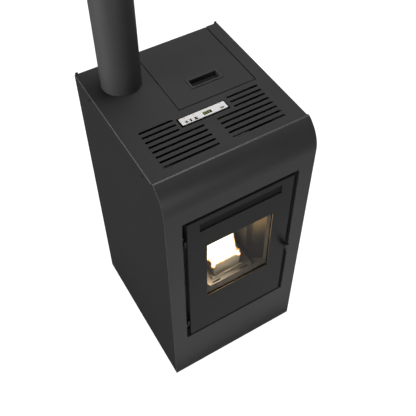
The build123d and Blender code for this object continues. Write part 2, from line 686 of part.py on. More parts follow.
lid_side = 178.0             # lid's left edge from the cabinet's left side
lid_margin = 40.0            # lid's right edge from the cabinet's right side
lid_front = 238.0            # lid's front edge behind the front panel's face
lid_t = 2.5
lid_gap = 3.0                # beside and in front of the lid
lid_back_gap = 2.0           # lid's rear edge ahead of the rear panel's face
rim_t = 2.0
rim_h = 3.7
lid_x0 = left_x + lid_side
lid_x1 = right_x - lid_margin
lid_y0 = deep(lid_front)
lid_y1 = back_y - lid_back_gap
opening_x0 = lid_x0 - lid_gap
opening_x1 = lid_x1 + lid_gap
opening_y0 = lid_y0 - lid_gap

plate_y0 = hem_back_y + seat
plate_y1 = back_y - rear_t - seat
top_plate = slab(-flange_x, flange_x, plate_y0, plate_y1, top_z - top_t, top_z)
top_plate += slab(opening_x0 - rim_t, opening_x1 + rim_t, opening_y0 - rim_t, plate_y1,
                  top_z - top_t - rim_h, top_z - top_t)
top_plate -= slab(opening_x0, opening_x1, opening_y0, plate_y1 + 1, top_z - top_t - rim_h - 1,
                  top_z + 1)
panel_y0 = deep(panel_open_depth)
panel_y1 = panel_y0 + panel_open_h
top_plate -= slab(panel_open_x0, panel_open_x1, panel_y0, panel_y1, top_z - top_t - 1, top_z + 1)
top_plate -= rod_z(flue_x, flue_y, top_z - top_t - 1, top_z + 1, jacket_r + 0.5)
for row in range(vent_rows):
    inner = vent_long_inner if row < vent_long_rows else vent_short_inner
    row_y = deep(vent_front + row * vent_pitch)
    for side in (-1, 1):
        top_plate -= slot_z(side * (vent_outer + inner) / 2, row_y, vent_outer - inner, vent_w,
                            top_z - top_t - 1, top_z + 1)
pieces["top_plate"] = top_plate

# ------------------------------------------------------------------ hopper
# Sheet bin under the lid, narrowed to the auger's inlet, with a flange under the top plate's rim.
auger_r = 25.0
auger_tube_r = 30.0
auger_tube_t = 2.5
outlet_y0 = chute_y0 + chute_run
outlet_y1 = outlet_y0 + chute_l
chute_top_z = chute_lip_z - chute_wall_z + (chute_run + chute_l) * chute_rise
auger_z = chute_top_z + seat + auger_tube_r
throat_depth = 290.0
throat_l = 80.0
throat_x = 20.0
hopper_t = 1.5
hopper_edge = 8.0            # hopper's wall inside the lid's edge
hopper_back = 14.0           # hopper's wall ahead of the rear panel's face
hopper_knee = 120.0          # start of the narrowing above the auger tube
flange_w = 13.0
flange_t = 3.0
hopper_x0 = lid_x0 + hopper_edge
hopper_x1 = lid_x1 - hopper_edge
hopper_y0 = lid_y0 + hopper_edge
hopper_y1 = back_y - hopper_back
flange_z1 = top_z - top_t - rim_h - seat
hopper_z0 = auger_z + auger_tube_r + seat
saddle_r = auger_tube_r + seat
hopper_knee_z = hopper_z0 + hopper_knee
throat_y0 = deep(throat_depth)
throat_y1 = throat_y0 + throat_l


def hopper_shape(wall):
    """The hopper's solid, drawn in by the wall."""
    width = hopper_x1 - hopper_x0 - 2 * wall
    length = hopper_y1 - hopper_y0 - 2 * wall
    middle = ((hopper_x0 + hopper_x1) / 2, (hopper_y0 + hopper_y1) / 2)
    bin_top = Pos(*middle, hopper_knee_z) * Rectangle(width, length)
    throat = Pos(0, (throat_y0 + throat_y1) / 2, hopper_z0) \
        * Rectangle(2 * throat_x - 2 * wall, throat_l - 2 * wall)
    neck = slab(wall - throat_x, throat_x - wall, throat_y0 + wall, throat_y1 - wall,
                auger_z + auger_tube_r / 2, hopper_z0)
    bin_box = extrude(bin_top, amount=flange_z1 - hopper_knee_z)
    return bin_box + neck + loft([throat.faces()[0], bin_top.faces()[0]])


hopper = hopper_shape(0)
hopper += slab(hopper_x0 - flange_w, hopper_x1 + flange_w, hopper_y0 - flange_w, hopper_y1 + 2,
               flange_z1 - flange_t, flange_z1)
hopper -= hopper_shape(hopper_t)
hopper -= rod_y(0, throat_y0 - 1, throat_y1 + 1, auger_z, saddle_r)
pieces["hopper"] = hopper

# A rubber frame on the flange seals the lid.
lid_seal_w = 6.0
lid_z0 = top_z - lid_t
seal_out_x0 = opening_x0 + 1.5
seal_out_x1 = opening_x1 - 1.5
seal_out_y0 = opening_y0 + 1.5
seal_out_y1 = hopper_y1 + 1.5
lid_seal = slab(seal_out_x0, seal_out_x1, seal_out_y0, seal_out_y1, flange_z1, lid_z0 - seat)
lid_seal -= slab(seal_out_x0 + lid_seal_w, seal_out_x1 - lid_seal_w, seal_out_y0 + lid_seal_w,
                 seal_out_y1 - lid_seal_w + 3, flange_z1 - 1, lid_z0)
pieces["lid_seal"] = lid_seal

# The lid, its knuckles, the brackets with their pins, and the sunk handle.
lid_pin_r = 2.2
lid_ear_r = 4.0
lid_axis_drop = 7.0          # hinge axis below the lid's upper face
lid_axis_inset = 5.0         # hinge axis ahead of the lid's rear edge
lid_ear_t = 4.0
lid_knuckle_w = 27.4
lid_hinge_inset = 42.0       # each hinge's middle from the lid's edge
lid_axis_y = lid_y1 - lid_axis_inset
lid_axis_z = top_z - lid_axis_drop
lid_mid_x = (lid_x0 + lid_x1) / 2
cup_w = 88.0
cup_h = 29.0
cup_deep = 14.0
cup_t = 1.5
cup_front = 69.5             # middle of the cup behind the lid's front edge
bezel_w = 4.0
bezel_t = 0.8
cup_y = lid_y0 + cup_front

lid = slab(lid_x0, lid_x1, lid_y0, lid_y1, lid_z0, top_z)
lid = fillet(lid.edges().filter_by(Axis.Z), 2)
brackets = []
for side in (-1, 1):
    hinge_x = lid_mid_x + side * (lid_x1 - lid_mid_x - lid_hinge_inset)
    half = lid_knuckle_w / 2
    lid += rod_x(hinge_x - half, hinge_x + half, lid_axis_y, lid_axis_z, lid_ear_r)
    lid += slab(hinge_x - half, hinge_x + half, lid_axis_y - lid_ear_r * 0.75,
                lid_axis_y + lid_ear_r * 0.75, lid_axis_z, lid_z0 + lid_t / 2)
    lid -= rod_x(hinge_x - half, hinge_x + half, lid_axis_y, lid_axis_z, lid_pin_r + run)
    ear_x0 = half + seat
    ear_x1 = ear_x0 + lid_ear_t
    bracket = slab(hinge_x - ear_x1, hinge_x + ear_x1, lid_axis_y - lid_ear_r,
                   lid_axis_y + lid_ear_r, lid_axis_z - lid_ear_r - 3,
                   lid_axis_z - lid_ear_r - seat)
    bracket += slab(hinge_x - ear_x1, hinge_x + ear_x1, lid_axis_y, back_y - rear_t - seat,
                    lid_axis_z - lid_ear_r - 24, lid_axis_z - lid_ear_r - seat - 1.2)
    for turn in (-1, 1):
        ear_a = hinge_x + turn * ear_x0
        ear_b = hinge_x + turn * ear_x1
        bracket += rod_x(min(ear_a, ear_b), max(ear_a, ear_b), lid_axis_y, lid_axis_z, lid_ear_r)
        bracket += slab(min(ear_a, ear_b), max(ear_a, ear_b), lid_axis_y - lid_ear_r,
                        lid_axis_y + lid_ear_r, lid_axis_z - lid_ear_r - 1, lid_axis_z)
    bracket += rod_x(hinge_x - ear_x1, hinge_x + ear_x1, lid_axis_y, lid_axis_z, lid_pin_r)
    brackets.append(bracket)
lid -= slab(lid_mid_x - cup_w / 2 - seat, lid_mid_x + cup_w / 2 + seat, cup_y - cup_h / 2 - seat,
            cup_y + cup_h / 2 + seat, lid_z0 - 1, top_z + 1)
pieces["hopper_lid"] = lid
pieces["lid_hinge_brackets"] = group(brackets)

cup = slab(lid_mid_x - cup_w / 2, lid_mid_x + cup_w / 2, cup_y - cup_h / 2, cup_y + cup_h / 2,
           top_z - cup_deep - cup_t, top_z)
cup += slab(lid_mid_x - cup_w / 2 - bezel_w, lid_mid_x + cup_w / 2 + bezel_w,
            cup_y - cup_h / 2 - bezel_w, cup_y + cup_h / 2 + bezel_w, top_z, top_z + bezel_t)
cup -= slab(lid_mid_x - cup_w / 2 + cup_t, lid_mid_x + cup_w / 2 - cup_t,
            cup_y - cup_h / 2 + cup_t, cup_y + cup_h / 2 - cup_t, top_z - cup_deep,
            top_z + bezel_t + 1)
pieces["lid_handle_cup"] = cup

# ------------------------------------------------------------------ rear panel
# Sheet with an air grille for the room fan, and low behind the lid. Two small tabs stand above
# the top plate at its corners.
tab_w = 8.0
tab_h = 6.5
notch_drop = 14.0
intake_r = 24.0
intake_t = 1.5
spigot_r = 25.0              # swaged end that a hose slides over
spigot_l = 38.0
intake_z = (air_box_z0 + air_box_z1) / 2
grille_rows = 9
grille_pitch = 12.0
grille_w = 110.0
grille_slot_w = 5.0
grille_offset = 20.0         # grille's middle beside the room fan's
grille_bottom = 150.0        # lowest slot above the cabinet's underside
fan_inset = 42.0             # room fan's middle inside the firebox's side
fan_height = 110.0           # its axis above the cabinet's underside
inlet_side = 60.0            # mains inlet's middle from the cabinet's right side
inlet_height = 60.0          # above the cabinet's underside
inlet_w = 46.0
inlet_h = 28.0
fan_x = firebox_x - fan_inset
fan_z = high(fan_height)
grille_x = fan_x - grille_offset
grille_z = high(grille_bottom)
inlet_x = right_x - inlet_side
inlet_z = high(inlet_height)
rear_panel = slab(-flange_x, flange_x, back_y - rear_t, back_y, base_z, top_z)
for side in (-1, 1):
    tab_x0 = side * flange_x
    tab_x1 = side * (flange_x - tab_w)
    rear_panel += slab(min(tab_x0, tab_x1), max(tab_x0, tab_x1), back_y - rear_t, back_y, top_z,
                       top_z + tab_h)
rear_panel -= slab(opening_x0, opening_x1, back_y - rear_t - 1, back_y + 1,
                   lid_axis_z - notch_drop, top_z + 1)
rear_panel -= rod_y(0, back_y - rear_t - 1, back_y + 1, intake_z, intake_r + seat)
rear_panel -= slab(inlet_x - inlet_w / 2 - seat, inlet_x + inlet_w / 2 + seat,
                   back_y - rear_t - 1, back_y + 1, inlet_z - inlet_h / 2 - seat,
                   inlet_z + inlet_h / 2 + seat)
for row in range(grille_rows):
    row_z = grille_z + row * grille_pitch
    rear_panel -= slab(grille_x - grille_w / 2, grille_x + grille_w / 2, back_y - rear_t - 1,
                       back_y + 1, row_z - grille_slot_w / 2, row_z + grille_slot_w / 2)
pieces["rear_panel"] = rear_panel

intake_end = back_y + intake_reach
air_intake = air_box + rod_y(0, air_box_y1 - duct_t / 2, intake_end, intake_z, intake_r)
air_intake += rod_y(0, intake_end - spigot_l, intake_end, intake_z, spigot_r)
air_intake -= rod_y(0, air_box_y1 - 2 * duct_t, intake_end + 1, intake_z, intake_r - intake_t)
pieces["air_intake"] = air_intake

# ------------------------------------------------------------------ auger and chute
tube_end = 9.0               # tube's closed end ahead of the chute
gearmotor_room = 70.0        # tube's open end ahead of the rear panel's face
tube_y0 = outlet_y0 - tube_end
tube_y1 = back_y - gearmotor_room
shaft_r = 8.0
flight_t = 3.0
flight_pitch = 42.0
flight_gap = 6.0             # flight inside each end of the tube
gearmotor_w = 64.0
gearmotor_l = 48.0
motor_can_r = 26.0
motor_can_l = 15.0
shaft_in_motor = 30.0
auger_tube = rod_y(0, tube_y0, tube_y1, auger_z, auger_tube_r)
auger_tube -= rod_y(0, tube_y0 + 3, tube_y1 + 1, auger_z, auger_tube_r - auger_tube_t)
auger_tube -= rod_y(0, tube_y0 - 1, tube_y0 + 4, auger_z, shaft_r + run)
auger_tube -= slab(-throat_x + hopper_t, throat_x - hopper_t, throat_y0 + hopper_t,
                   throat_y1 - hopper_t, auger_z, auger_z + auger_tube_r + 1)
auger_tube -= slab(-throat_x, throat_x, outlet_y0 + chute_t, outlet_y1 - chute_t,
                   auger_z - auger_tube_r - 1, auger_z)
pieces["auger_tube"] = auger_tube

flight_y0 = tube_y0 + flight_gap
flight_l = tube_y1 - flight_gap - flight_y0
flight_mid_r = (shaft_r + auger_r) / 2
helix = Helix(flight_pitch, flight_l, flight_mid_r)
blade = Plane(origin=helix @ 0, x_dir=(1, 0, 0), z_dir=helix % 0) \
    * Rectangle(auger_r - shaft_r + 1, flight_t)
flight = sweep(blade, path=helix, is_frenet=True)
screw = Pos(0, flight_y0, auger_z) * Rot(-90, 0, 0) * flight
screw += rod_y(0, tube_y0, tube_y1 + shaft_in_motor, auger_z, shaft_r)
pieces["auger_screw"] = screw

gearmotor_y0 = tube_y1 + seat
gearmotor = slab(-gearmotor_w / 2, gearmotor_w / 2, gearmotor_y0, gearmotor_y0 + gearmotor_l,
                 auger_z - gearmotor_w / 2, auger_z + gearmotor_w / 2)
gearmotor = fillet(gearmotor.edges().filter_by(Axis.Y), 5)
gearmotor += rod_y(0, gearmotor_y0 + gearmotor_l, gearmotor_y0 + gearmotor_l + motor_can_l,
                   auger_z, motor_can_r)
gearmotor -= rod_y(0, gearmotor_y0 - 1, tube_y1 + shaft_in_motor + 2, auger_z, shaft_r + run)
pieces["auger_gearmotor"] = gearmotor


def chute_prism(wall):
    """The sloping chute's solid with its upright mouth, drawn in by the wall."""
    inset = wall / sin(radians(chute_slope))
    low = chute_lip_z - chute_wall_z + wall / cos(radians(chute_slope))
    high_edge = chute_lip_z + chute_hole_h + chute_wall_z - wall / cos(radians(chute_slope))
    slope = [(chute_y0, low), (chute_y0, high_edge), (outlet_y0 + inset, chute_top_z),
             (outlet_y1 - inset, chute_top_z)]
    mouth = slab(wall - chute_w / 2, chute_w / 2 - wall, outlet_y0 + inset, outlet_y1 - inset,
                 chute_top_z, auger_z - auger_tube_r / 2)
    return prism_x(slope, wall - chute_w / 2, chute_w / 2 - wall) + mouth


chute = chute_prism(0) - chute_prism(chute_t)
chute -= rod_y(0, outlet_y0 - 1, outlet_y1 + 1, auger_z, saddle_r)
pieces["pellet_chute"] = chute

# ------------------------------------------------------------------ smoke path and flue
smoke_box_h = 86.0
exhaust_r = 35.0
exhaust_rise = 42.3          # fan's axis above the smoke box's floor
exhaust_inset = 50.7         # fan's axis from the smoke box's left side
fan_case_l = 57.0
volute_r = 66.0
outlet_w = 68.0
outlet_h = 112.0             # outlet's top above the fan's axis
socket_h = 40.0              # round socket inside the flue's lower end
smoke_z1 = fire_floor_z - body_t - seat
smoke_z0 = smoke_z1 - smoke_box_h
exhaust_z = smoke_z0 + exhaust_rise
exhaust_x = smoke_x0 + exhaust_inset
volute_x = exhaust_x
fan_case_y0 = flue_y - fan_case_l / 2
outlet_top_z = exhaust_z + outlet_h
smoke_box = slab(smoke_x0, smoke_x1, firebox_y0 + 2 * body_t, firebox_y1, smoke_z0, smoke_z1)
smoke_box += rod_y(exhaust_x, firebox_y1 - 2, fan_case_y0 - seat, exhaust_z, exhaust_r)
smoke_box -= slab(smoke_x0 + duct_t, smoke_x1 - duct_t, firebox_y0 + 2 * body_t + duct_t,
                  firebox_y1 - duct_t, smoke_z0 + duct_t, smoke_z1 + 1)
smoke_box -= rod_y(exhaust_x, firebox_y1 - 5, fan_case_y0 + 1, exhaust_z, exhaust_r - duct_t)
pieces["smoke_box"] = smoke_box

fan_case_y1 = fan_case_y0 + fan_case_l


def fan_case_shape(wall):
    """The smoke fan's volute with its upright outlet, drawn in by the wall."""
    shape = rod_y(volute_x, fan_case_y0 + wall, fan_case_y1 - wall, exhaust_z, volute_r - wall)
    return shape + slab(flue_x - outlet_w / 2 + wall, flue_x + outlet_w / 2 - wall,
                        fan_case_y0 + wall, fan_case_y1 - wall, exhaust_z, outlet_top_z - wall)


smoke_fan_shaft_r = 4.0
outlet_hole_r = fan_case_l / 2 - duct_t - 1
fan_case = fan_case_shape(0)
fan_case += slab(flue_x - liner_pipe_r, flue_x + liner_pipe_r, flue_y - liner_pipe_r,
                 flue_y + liner_pipe_r, outlet_top_z - duct_t, outlet_top_z)
fan_case += rod_z(flue_x, flue_y, outlet_top_z, outlet_top_z + socket_h,
                  liner_pipe_r - pipe_t - seat)
fan_case -= fan_case_shape(duct_t)
fan_case -= rod_z(flue_x, flue_y, outlet_top_z - 3 * duct_t, outlet_top_z + duct_t, outlet_hole_r)
fan_case -= rod_z(flue_x, flue_y, outlet_top_z + duct_t, outlet_top_z + socket_h + 1,
                  liner_pipe_r - pipe_t - seat - duct_t)
fan_case -= rod_y(volute_x, fan_case_y0 - 1, fan_case_y0 + duct_t + 1, exhaust_z,
                  exhaust_r - duct_t)
fan_case -= rod_y(volute_x, fan_case_y1 - duct_t - 1, fan_case_y1 + 1, exhaust_z,
                  smoke_fan_shaft_r + run)
pieces["smoke_fan_case"] = fan_case

blade_t = 1.5
impeller_r = 54.0
impeller_w = 34.0
impeller_blades = 8
hub_r = 10.0
impeller_y1 = fan_case_y1 - duct_t - 4
impeller_y0 = impeller_y1 - impeller_w
motor_l = 50.0
motor_r = 38.0
impeller = rod_y(volute_x, impeller_y1 - blade_t, impeller_y1, exhaust_z, impeller_r)
impeller += rod_y(volute_x, impeller_y0, impeller_y1, exhaust_z, hub_r)
impeller += rod_y(volute_x, impeller_y0, fan_case_y1 + 25, exhaust_z, smoke_fan_shaft_r)
for i in range(impeller_blades):
    vane = slab(hub_r - 1, impeller_r - 1, impeller_y0, impeller_y1 - blade_t, -blade_t / 2,
                blade_t / 2)
    impeller += Pos(volute_x, 0, exhaust_z) * Rot(0, i * 360 / impeller_blades, 0) * vane
pieces["smoke_fan_impeller"] = impeller
motor_y0 = fan_case_y1 + seat
smoke_motor = rod_y(volute_x, motor_y0, motor_y0 + motor_l, exhaust_z, motor_r)
smoke_motor = chamfer(smoke_motor.edges().group_by(Axis.Y)[-1], 4)
smoke_motor -= rod_y(volute_x, motor_y0 - 1, motor_y0 + 27, exhaust_z, smoke_fan_shaft_r + run)
pieces["smoke_fan_motor"] = smoke_motor

flue_z1 = top_z + flue_reach
liner_pipe_z0 = outlet_top_z + seat
liner_socket_l = 60.0        # widened upper end that takes the next pipe
liner_socket_r = 41.5
flue_liner = rod_z(flue_x, flue_y, liner_pipe_z0, flue_z1, liner_pipe_r)
flue_liner += rod_z(flue_x, flue_y, flue_z1 - liner_socket_l - pipe_t, flue_z1, liner_socket_r)
flue_liner -= rod_z(flue_x, flue_y, liner_pipe_z0 - 1, flue_z1 + 1, liner_pipe_r - pipe_t)
flue_liner -= rod_z(flue_x, flue_y, flue_z1 - liner_socket_l, flue_z1 + 1,
                    liner_socket_r - pipe_t)
pieces["flue_liner"] = flue_liner
jacket_t = 1.5
collar_t = 3.0
collar_z1 = top_z - top_t - seat
shelf_z1 = collar_z1 - 7
collar_r = jacket_r + 12
jacket_z0 = shelf_z1 + seat
jacket = rod_z(flue_x, flue_y, jacket_z0, flue_z1, jacket_r)
jacket -= rod_z(flue_x, flue_y, jacket_z0 - 1, flue_z1 + 1, jacket_r - jacket_t)
pieces["flue_jacket"] = jacket
collar = rod_z(flue_x, flue_y, shelf_z1 - collar_t, collar_z1, jacket_r + seat + collar_t)
collar += rod_z(flue_x, flue_y, collar_z1 - collar_t, collar_z1, collar_r)
collar -= rod_z(flue_x, flue_y, shelf_z1, collar_z1 + 1, jacket_r + seat)
collar -= rod_z(flue_x, flue_y, shelf_z1 - collar_t - 1, collar_z1 + 1, liner_pipe_r + seat)
pieces["flue_collar"] = collar

# ------------------------------------------------------------------ room fan and warm-air duct
# A fan at the bottom right blows up a flat duct behind the firebox, and through the tubes.
duct_gap = 4.0               # duct behind the firebox
riser_depth = 28.0
riser_half = 40.0
wheel_r = 46.0
wheel_w = 60.0
wheel_blades = 16
case_r = 60.0
case_w = 80.0
case_neck = 12.0             # outlet's end above the volute
plenum_edge = 4.0            # plenum's end beyond the outer tubes
plenum_half = 37.0           # half of the plenum's height
case_top_z = fan_z + case_r + case_neck
stub_r = 6.0
duct_y0 = firebox_y1 + duct_gap
duct_y1 = duct_y0 + riser_depth
fan_y = duct_y0 + case_r
plenum_x = tube_count * tube_pitch / 2 + plenum_edge
plenum_z0 = tube_z - plenum_half
plenum_z1 = tube_z + plenum_half


def room_fan_shape(wall):
    """The room fan's volute with its upright outlet, drawn in by the wall."""
    shape = rod_x(case_x0 + wall, case_x1 - wall, fan_y, fan_z, case_r - wall)
    return shape + slab(case_x0 + wall, case_x1 - wall, duct_y0 + wall, duct_y1 - wall, fan_z,
                        case_top_z)


fan_eye_r = 34.0
fan_foot_t = 3.0
case_x0 = fan_x - case_w / 2
case_x1 = fan_x + case_w / 2
room_case = room_fan_shape(0)
for foot_x in (case_x0, case_x1 - fan_foot_t):
    room_case += slab(foot_x, foot_x + fan_foot_t, fan_y - case_r / 2, fan_y + case_r / 2, floor_z,
                      fan_z - case_r / 2)
room_case -= room_fan_shape(duct_t)
room_case -= slab(case_x0 + duct_t, case_x1 - duct_t, duct_y0 + duct_t, duct_y1 - duct_t,
                  case_top_z - 2, case_top_z + 1)
room_case -= rod_x(case_x1 - 2 * fan_foot_t, case_x1 + 1, fan_y, fan_z, fan_eye_r)
room_case += rod_x(case_x0, fan_x + wheel_w / 2 - 8, fan_y, fan_z, stub_r)
pieces["room_fan_case"] = room_case
wheel = rod_x(fan_x - wheel_w / 2, fan_x - wheel_w / 2 + 2, fan_y, fan_z, wheel_r)
wheel += rod_x(fan_x - wheel_w / 2, fan_x + wheel_w / 2 - 10, fan_y, fan_z, stub_r + 4)
for i in range(wheel_blades):
    vane = slab(-wheel_w / 2, wheel_w / 2, wheel_r - 12, wheel_r, -blade_t / 2, blade_t / 2)
    wheel += Pos(fan_x, fan_y, fan_z) * Rot(i * 360 / wheel_blades, 0, 0) * vane
hoop = rod_x(fan_x + wheel_w / 2 - 2, fan_x + wheel_w / 2, fan_y, fan_z, wheel_r)
wheel += hoop - rod_x(fan_x + wheel_w / 2 - 3, fan_x + wheel_w / 2 + 1, fan_y, fan_z,
                      wheel_r - 12)
wheel -= rod_x(fan_x - wheel_w / 2 - 1, fan_x + wheel_w / 2 - 7, fan_y, fan_z, stub_r + run)
pieces["room_fan_wheel"] = wheel

duct = slab(fan_x - riser_half, fan_x + riser_half, duct_y0, duct_y1, case_top_z + seat,
            plenum_z0 + 1)
duct += slab(-plenum_x, fan_x + riser_half, firebox_y1 + seat, duct_y1, plenum_z0, plenum_z1)
duct -= slab(fan_x - riser_half + duct_t, fan_x + riser_half - duct_t, duct_y0 + duct_t,
             duct_y1 - duct_t, case_top_z, plenum_z0 + 2 * duct_t)
duct -= slab(-plenum_x + duct_t, fan_x + riser_half - duct_t, firebox_y1, duct_y1 - duct_t,
             plenum_z0 + duct_t, plenum_z1 - duct_t)
pieces["warm_air_duct"] = duct

# ------------------------------------------------------------------ controls
# A sunk tray in the top plate holds the silver face with its display and four keys.
face_w = 134.0
face_h = 24.8
face_front = 183.4           # silver face's front edge behind the front panel's face
control_t = 2.0
tray_wall = 2.0
tray_deep = 20.0
key_w = 10.0
key_h = 9.0
key_t = 2.6
key_travel = 1.0
key_inset = 7.0              # keys' middle behind the face's front edge
key_gap = 0.25
display_x0 = -2.4
display_w = 25.4
display_h = 10.6
display_inset = 10.2         # display's middle behind the face's front edge
key_places = {"key_down": -51.9, "key_menu": -39.6, "key_up": -25.2, "key_power": 52.9}
face_y0 = deep(face_front)
face_y2 = face_y0 + face_h
key_y = face_y0 + key_inset
display_y = face_y0 + display_inset
control_z0 = top_z - control_t
control_tray = slab(panel_open_x0 + seat, panel_open_x1 - seat, panel_y0 + seat, panel_y1 - seat,
                    top_z - tray_deep, top_z - 0.6)
control_tray -= slab(panel_open_x0 + seat + tray_wall, panel_open_x1 - seat - tray_wall,
                     panel_y0 + seat + tray_wall, panel_y1 - seat - tray_wall,
                     top_z - tray_deep + tray_wall, top_z)
control_tray += slab(panel_open_x0 - 6, panel_open_x1 + 6, panel_y0 - 2, panel_y1 + 2,
                     top_z - top_t - seat - 2, top_z - top_t - seat) \
    - slab(panel_open_x0 + seat + 1, panel_open_x1 - seat - 1, panel_y0 + seat + 1,
           panel_y1 - seat - 1, top_z - top_t - 3, top_z)
rest_w = 4.0
rest_xs = [(key_places["key_down"] - key_w / 2 - face_w / 2) / 2,
           (key_places["key_up"] + key_w / 2 + display_x0) / 2,
           (display_x0 + display_w + key_places["key_power"] - key_w / 2) / 2,
           (key_places["key_power"] + key_w / 2 + face_w / 2) / 2]
for rest_x in rest_xs:
    control_tray += slab(rest_x - rest_w / 2, rest_x + rest_w / 2, panel_y0 + seat + 1,
                         panel_y1 - seat - 1, top_z - tray_deep + 1, control_z0)
pieces["control_tray"] = control_tray
fascia = slab(-face_w / 2, face_w / 2, face_y0, face_y2, control_z0, top_z)
fascia = fillet(fascia.edges().filter_by(Axis.Z), 1.5)
fascia -= slab(display_x0, display_x0 + display_w, display_y - display_h / 2,
               display_y + display_h / 2, control_z0 - 1, top_z + 1)
for key_name, key_x in key_places.items():
    fascia -= slab(key_x - key_w / 2 - key_gap, key_x + key_w / 2 + key_gap,
                   key_y - key_h / 2 - key_gap, key_y + key_h / 2 + key_gap, control_z0 - 1,
                   top_z + 1)
    key = slab(key_x - key_w / 2, key_x + key_w / 2, key_y - key_h / 2, key_y + key_h / 2,
               control_z0 - 1, control_z0 - 1 + key_t)
    key = fillet(key.edges().group_by(Axis.Z)[-1], 0.3)
    pieces[key_name] = key + slab(key_x - key_w / 2 - 1, key_x + key_w / 2 + 1,
                                  key_y - key_h / 2 + 2, key_y + key_h / 2 - 2, control_z0 - 1.5,
                                  control_z0 - seat)
pieces["control_face"] = fascia
display = slab(display_x0 + 0.1, display_x0 + display_w - 0.1, display_y - display_h / 2 + 0.1,
               display_y + display_h / 2 - 0.1, control_z0 - 2, top_z - 0.2)
pieces["display_window"] = display

board_t = 26.0
board_l = 140.0
board_h = 160.0
board_front = 300.0          # behind the front panel's face
board_bottom = 300.0         # above the cabinet's underside
board_y0 = deep(board_front)
board_z0 = high(board_bottom)
board_x1 = chassis_x - chassis_t - seat
board_box = slab(board_x1 - board_t, board_x1, board_y0, board_y0 + board_l, board_z0,
                 board_z0 + board_h)
pieces["control_box"] = fillet(board_box.edges().filter_by(Axis.X), 3)

# Mains inlet with a rocker switch, low on the rear panel.
inlet_deep = 30.0
inlet_flange = 3.0
inlet_lip = 4.0
switch_w = 12.0
switch_h = 20.0
switch_x = inlet_x + inlet_w / 2 - 11
socket_w = 20.0
rocker_r = 9.0
rocker_pin_r = 1.5
inlet_y1 = back_y + inlet_flange
inlet = slab(inlet_x - inlet_w / 2, inlet_x + inlet_w / 2, back_y - inlet_deep, back_y,
             inlet_z - inlet_h / 2, inlet_z + inlet_h / 2)
inlet += slab(inlet_x - inlet_w / 2 - inlet_lip, inlet_x + inlet_w / 2 + inlet_lip, back_y,
              inlet_y1, inlet_z - inlet_h / 2 - inlet_lip, inlet_z + inlet_h / 2 + inlet_lip)
socket_x = inlet_x - inlet_w / 2 + 13
inlet -= slab(socket_x - socket_w / 2, socket_x + socket_w / 2, inlet_y1 - 18, inlet_y1 + 1,
              inlet_z - 8, inlet_z + 8)
for blade_x, blade_rise in ((-5, -1), (0, 2), (5, -1)):
    inlet += slab(socket_x + blade_x - 1, socket_x + blade_x + 1, inlet_y1 - 19, inlet_y1 - 5,
                  inlet_z + blade_rise - 2, inlet_z + blade_rise + 2)
inlet -= slab(switch_x - switch_w / 2, switch_x + switch_w / 2, inlet_y1 - 14, inlet_y1 + 1,
              inlet_z - switch_h / 2, inlet_z + switch_h / 2)
rocker_y = inlet_y1 - 6
rocker_half = switch_w / 2 - seat
rocker = rod_x(switch_x - rocker_half, switch_x + rocker_half, rocker_y, inlet_z, rocker_r)
rocker &= slab(switch_x - rocker_half, switch_x + rocker_half, rocker_y - 4, rocker_y + 7.5,
               inlet_z - rocker_r, inlet_z + rocker_r)
rocker -= rod_x(switch_x - rocker_half, switch_x + rocker_half, rocker_y, inlet_z,
                rocker_pin_r + run)
inlet += rod_x(switch_x - switch_w / 2 - 1, switch_x + switch_w / 2 + 1, rocker_y, inlet_z,
               rocker_pin_r)
pieces["mains_inlet"] = inlet
pieces["rocker_switch"] = rocker

# ------------------------------------------------------------------ files
for name, shape in pieces.items():
    solids = shape.solids()
    export_step(solids[0] if len(solids) == 1 else group([shape]), f"parts/{name}.step")
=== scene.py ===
import bmesh
import bpy
import math
import random
from mathutils import Matrix, Vector, noise


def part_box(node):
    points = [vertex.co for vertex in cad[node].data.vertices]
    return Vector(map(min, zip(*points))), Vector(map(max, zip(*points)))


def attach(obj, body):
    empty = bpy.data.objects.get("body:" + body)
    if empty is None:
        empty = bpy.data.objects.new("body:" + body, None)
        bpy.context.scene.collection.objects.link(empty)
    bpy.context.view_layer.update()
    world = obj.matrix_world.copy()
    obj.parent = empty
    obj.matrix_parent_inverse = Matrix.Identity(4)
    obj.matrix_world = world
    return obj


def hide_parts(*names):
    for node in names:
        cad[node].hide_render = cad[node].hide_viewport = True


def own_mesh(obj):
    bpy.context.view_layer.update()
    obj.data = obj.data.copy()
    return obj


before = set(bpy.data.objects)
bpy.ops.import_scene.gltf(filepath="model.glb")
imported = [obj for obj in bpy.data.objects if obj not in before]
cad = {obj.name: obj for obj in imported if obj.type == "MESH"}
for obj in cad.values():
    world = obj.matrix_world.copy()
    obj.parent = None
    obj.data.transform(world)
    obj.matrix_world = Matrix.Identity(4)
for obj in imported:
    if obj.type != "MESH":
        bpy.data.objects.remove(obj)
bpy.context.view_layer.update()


# ------------------------------------------------------------------ base tray and chassis
# The tray and the two upright channels are folded from galvanised sheet. The zinc shows as flat
# crystals that differ a little in their grey and in their shine.
def node_group(name, inputs, outputs):
    """A shader node group. Its inputs are (name, type, value) and its outputs (name, type)."""
    tree = bpy.data.node_groups.new(name, "ShaderNodeTree")
    for label, kind, value in inputs:
        tree.interface.new_socket(label, in_out="INPUT", socket_type=kind).default_value = value
    for label, kind in outputs:
        tree.interface.new_socket(label, in_out="OUTPUT", socket_type=kind)
    return tree, tree.nodes.new("NodeGroupInput"), tree.nodes.new("NodeGroupOutput")


def put(tree, socket, value):
    """Sets a socket to a value, or joins another node's socket to it."""
    if isinstance(value, bpy.types.NodeSocket):
        tree.links.new(value, socket)
    else:
        socket.default_value = value


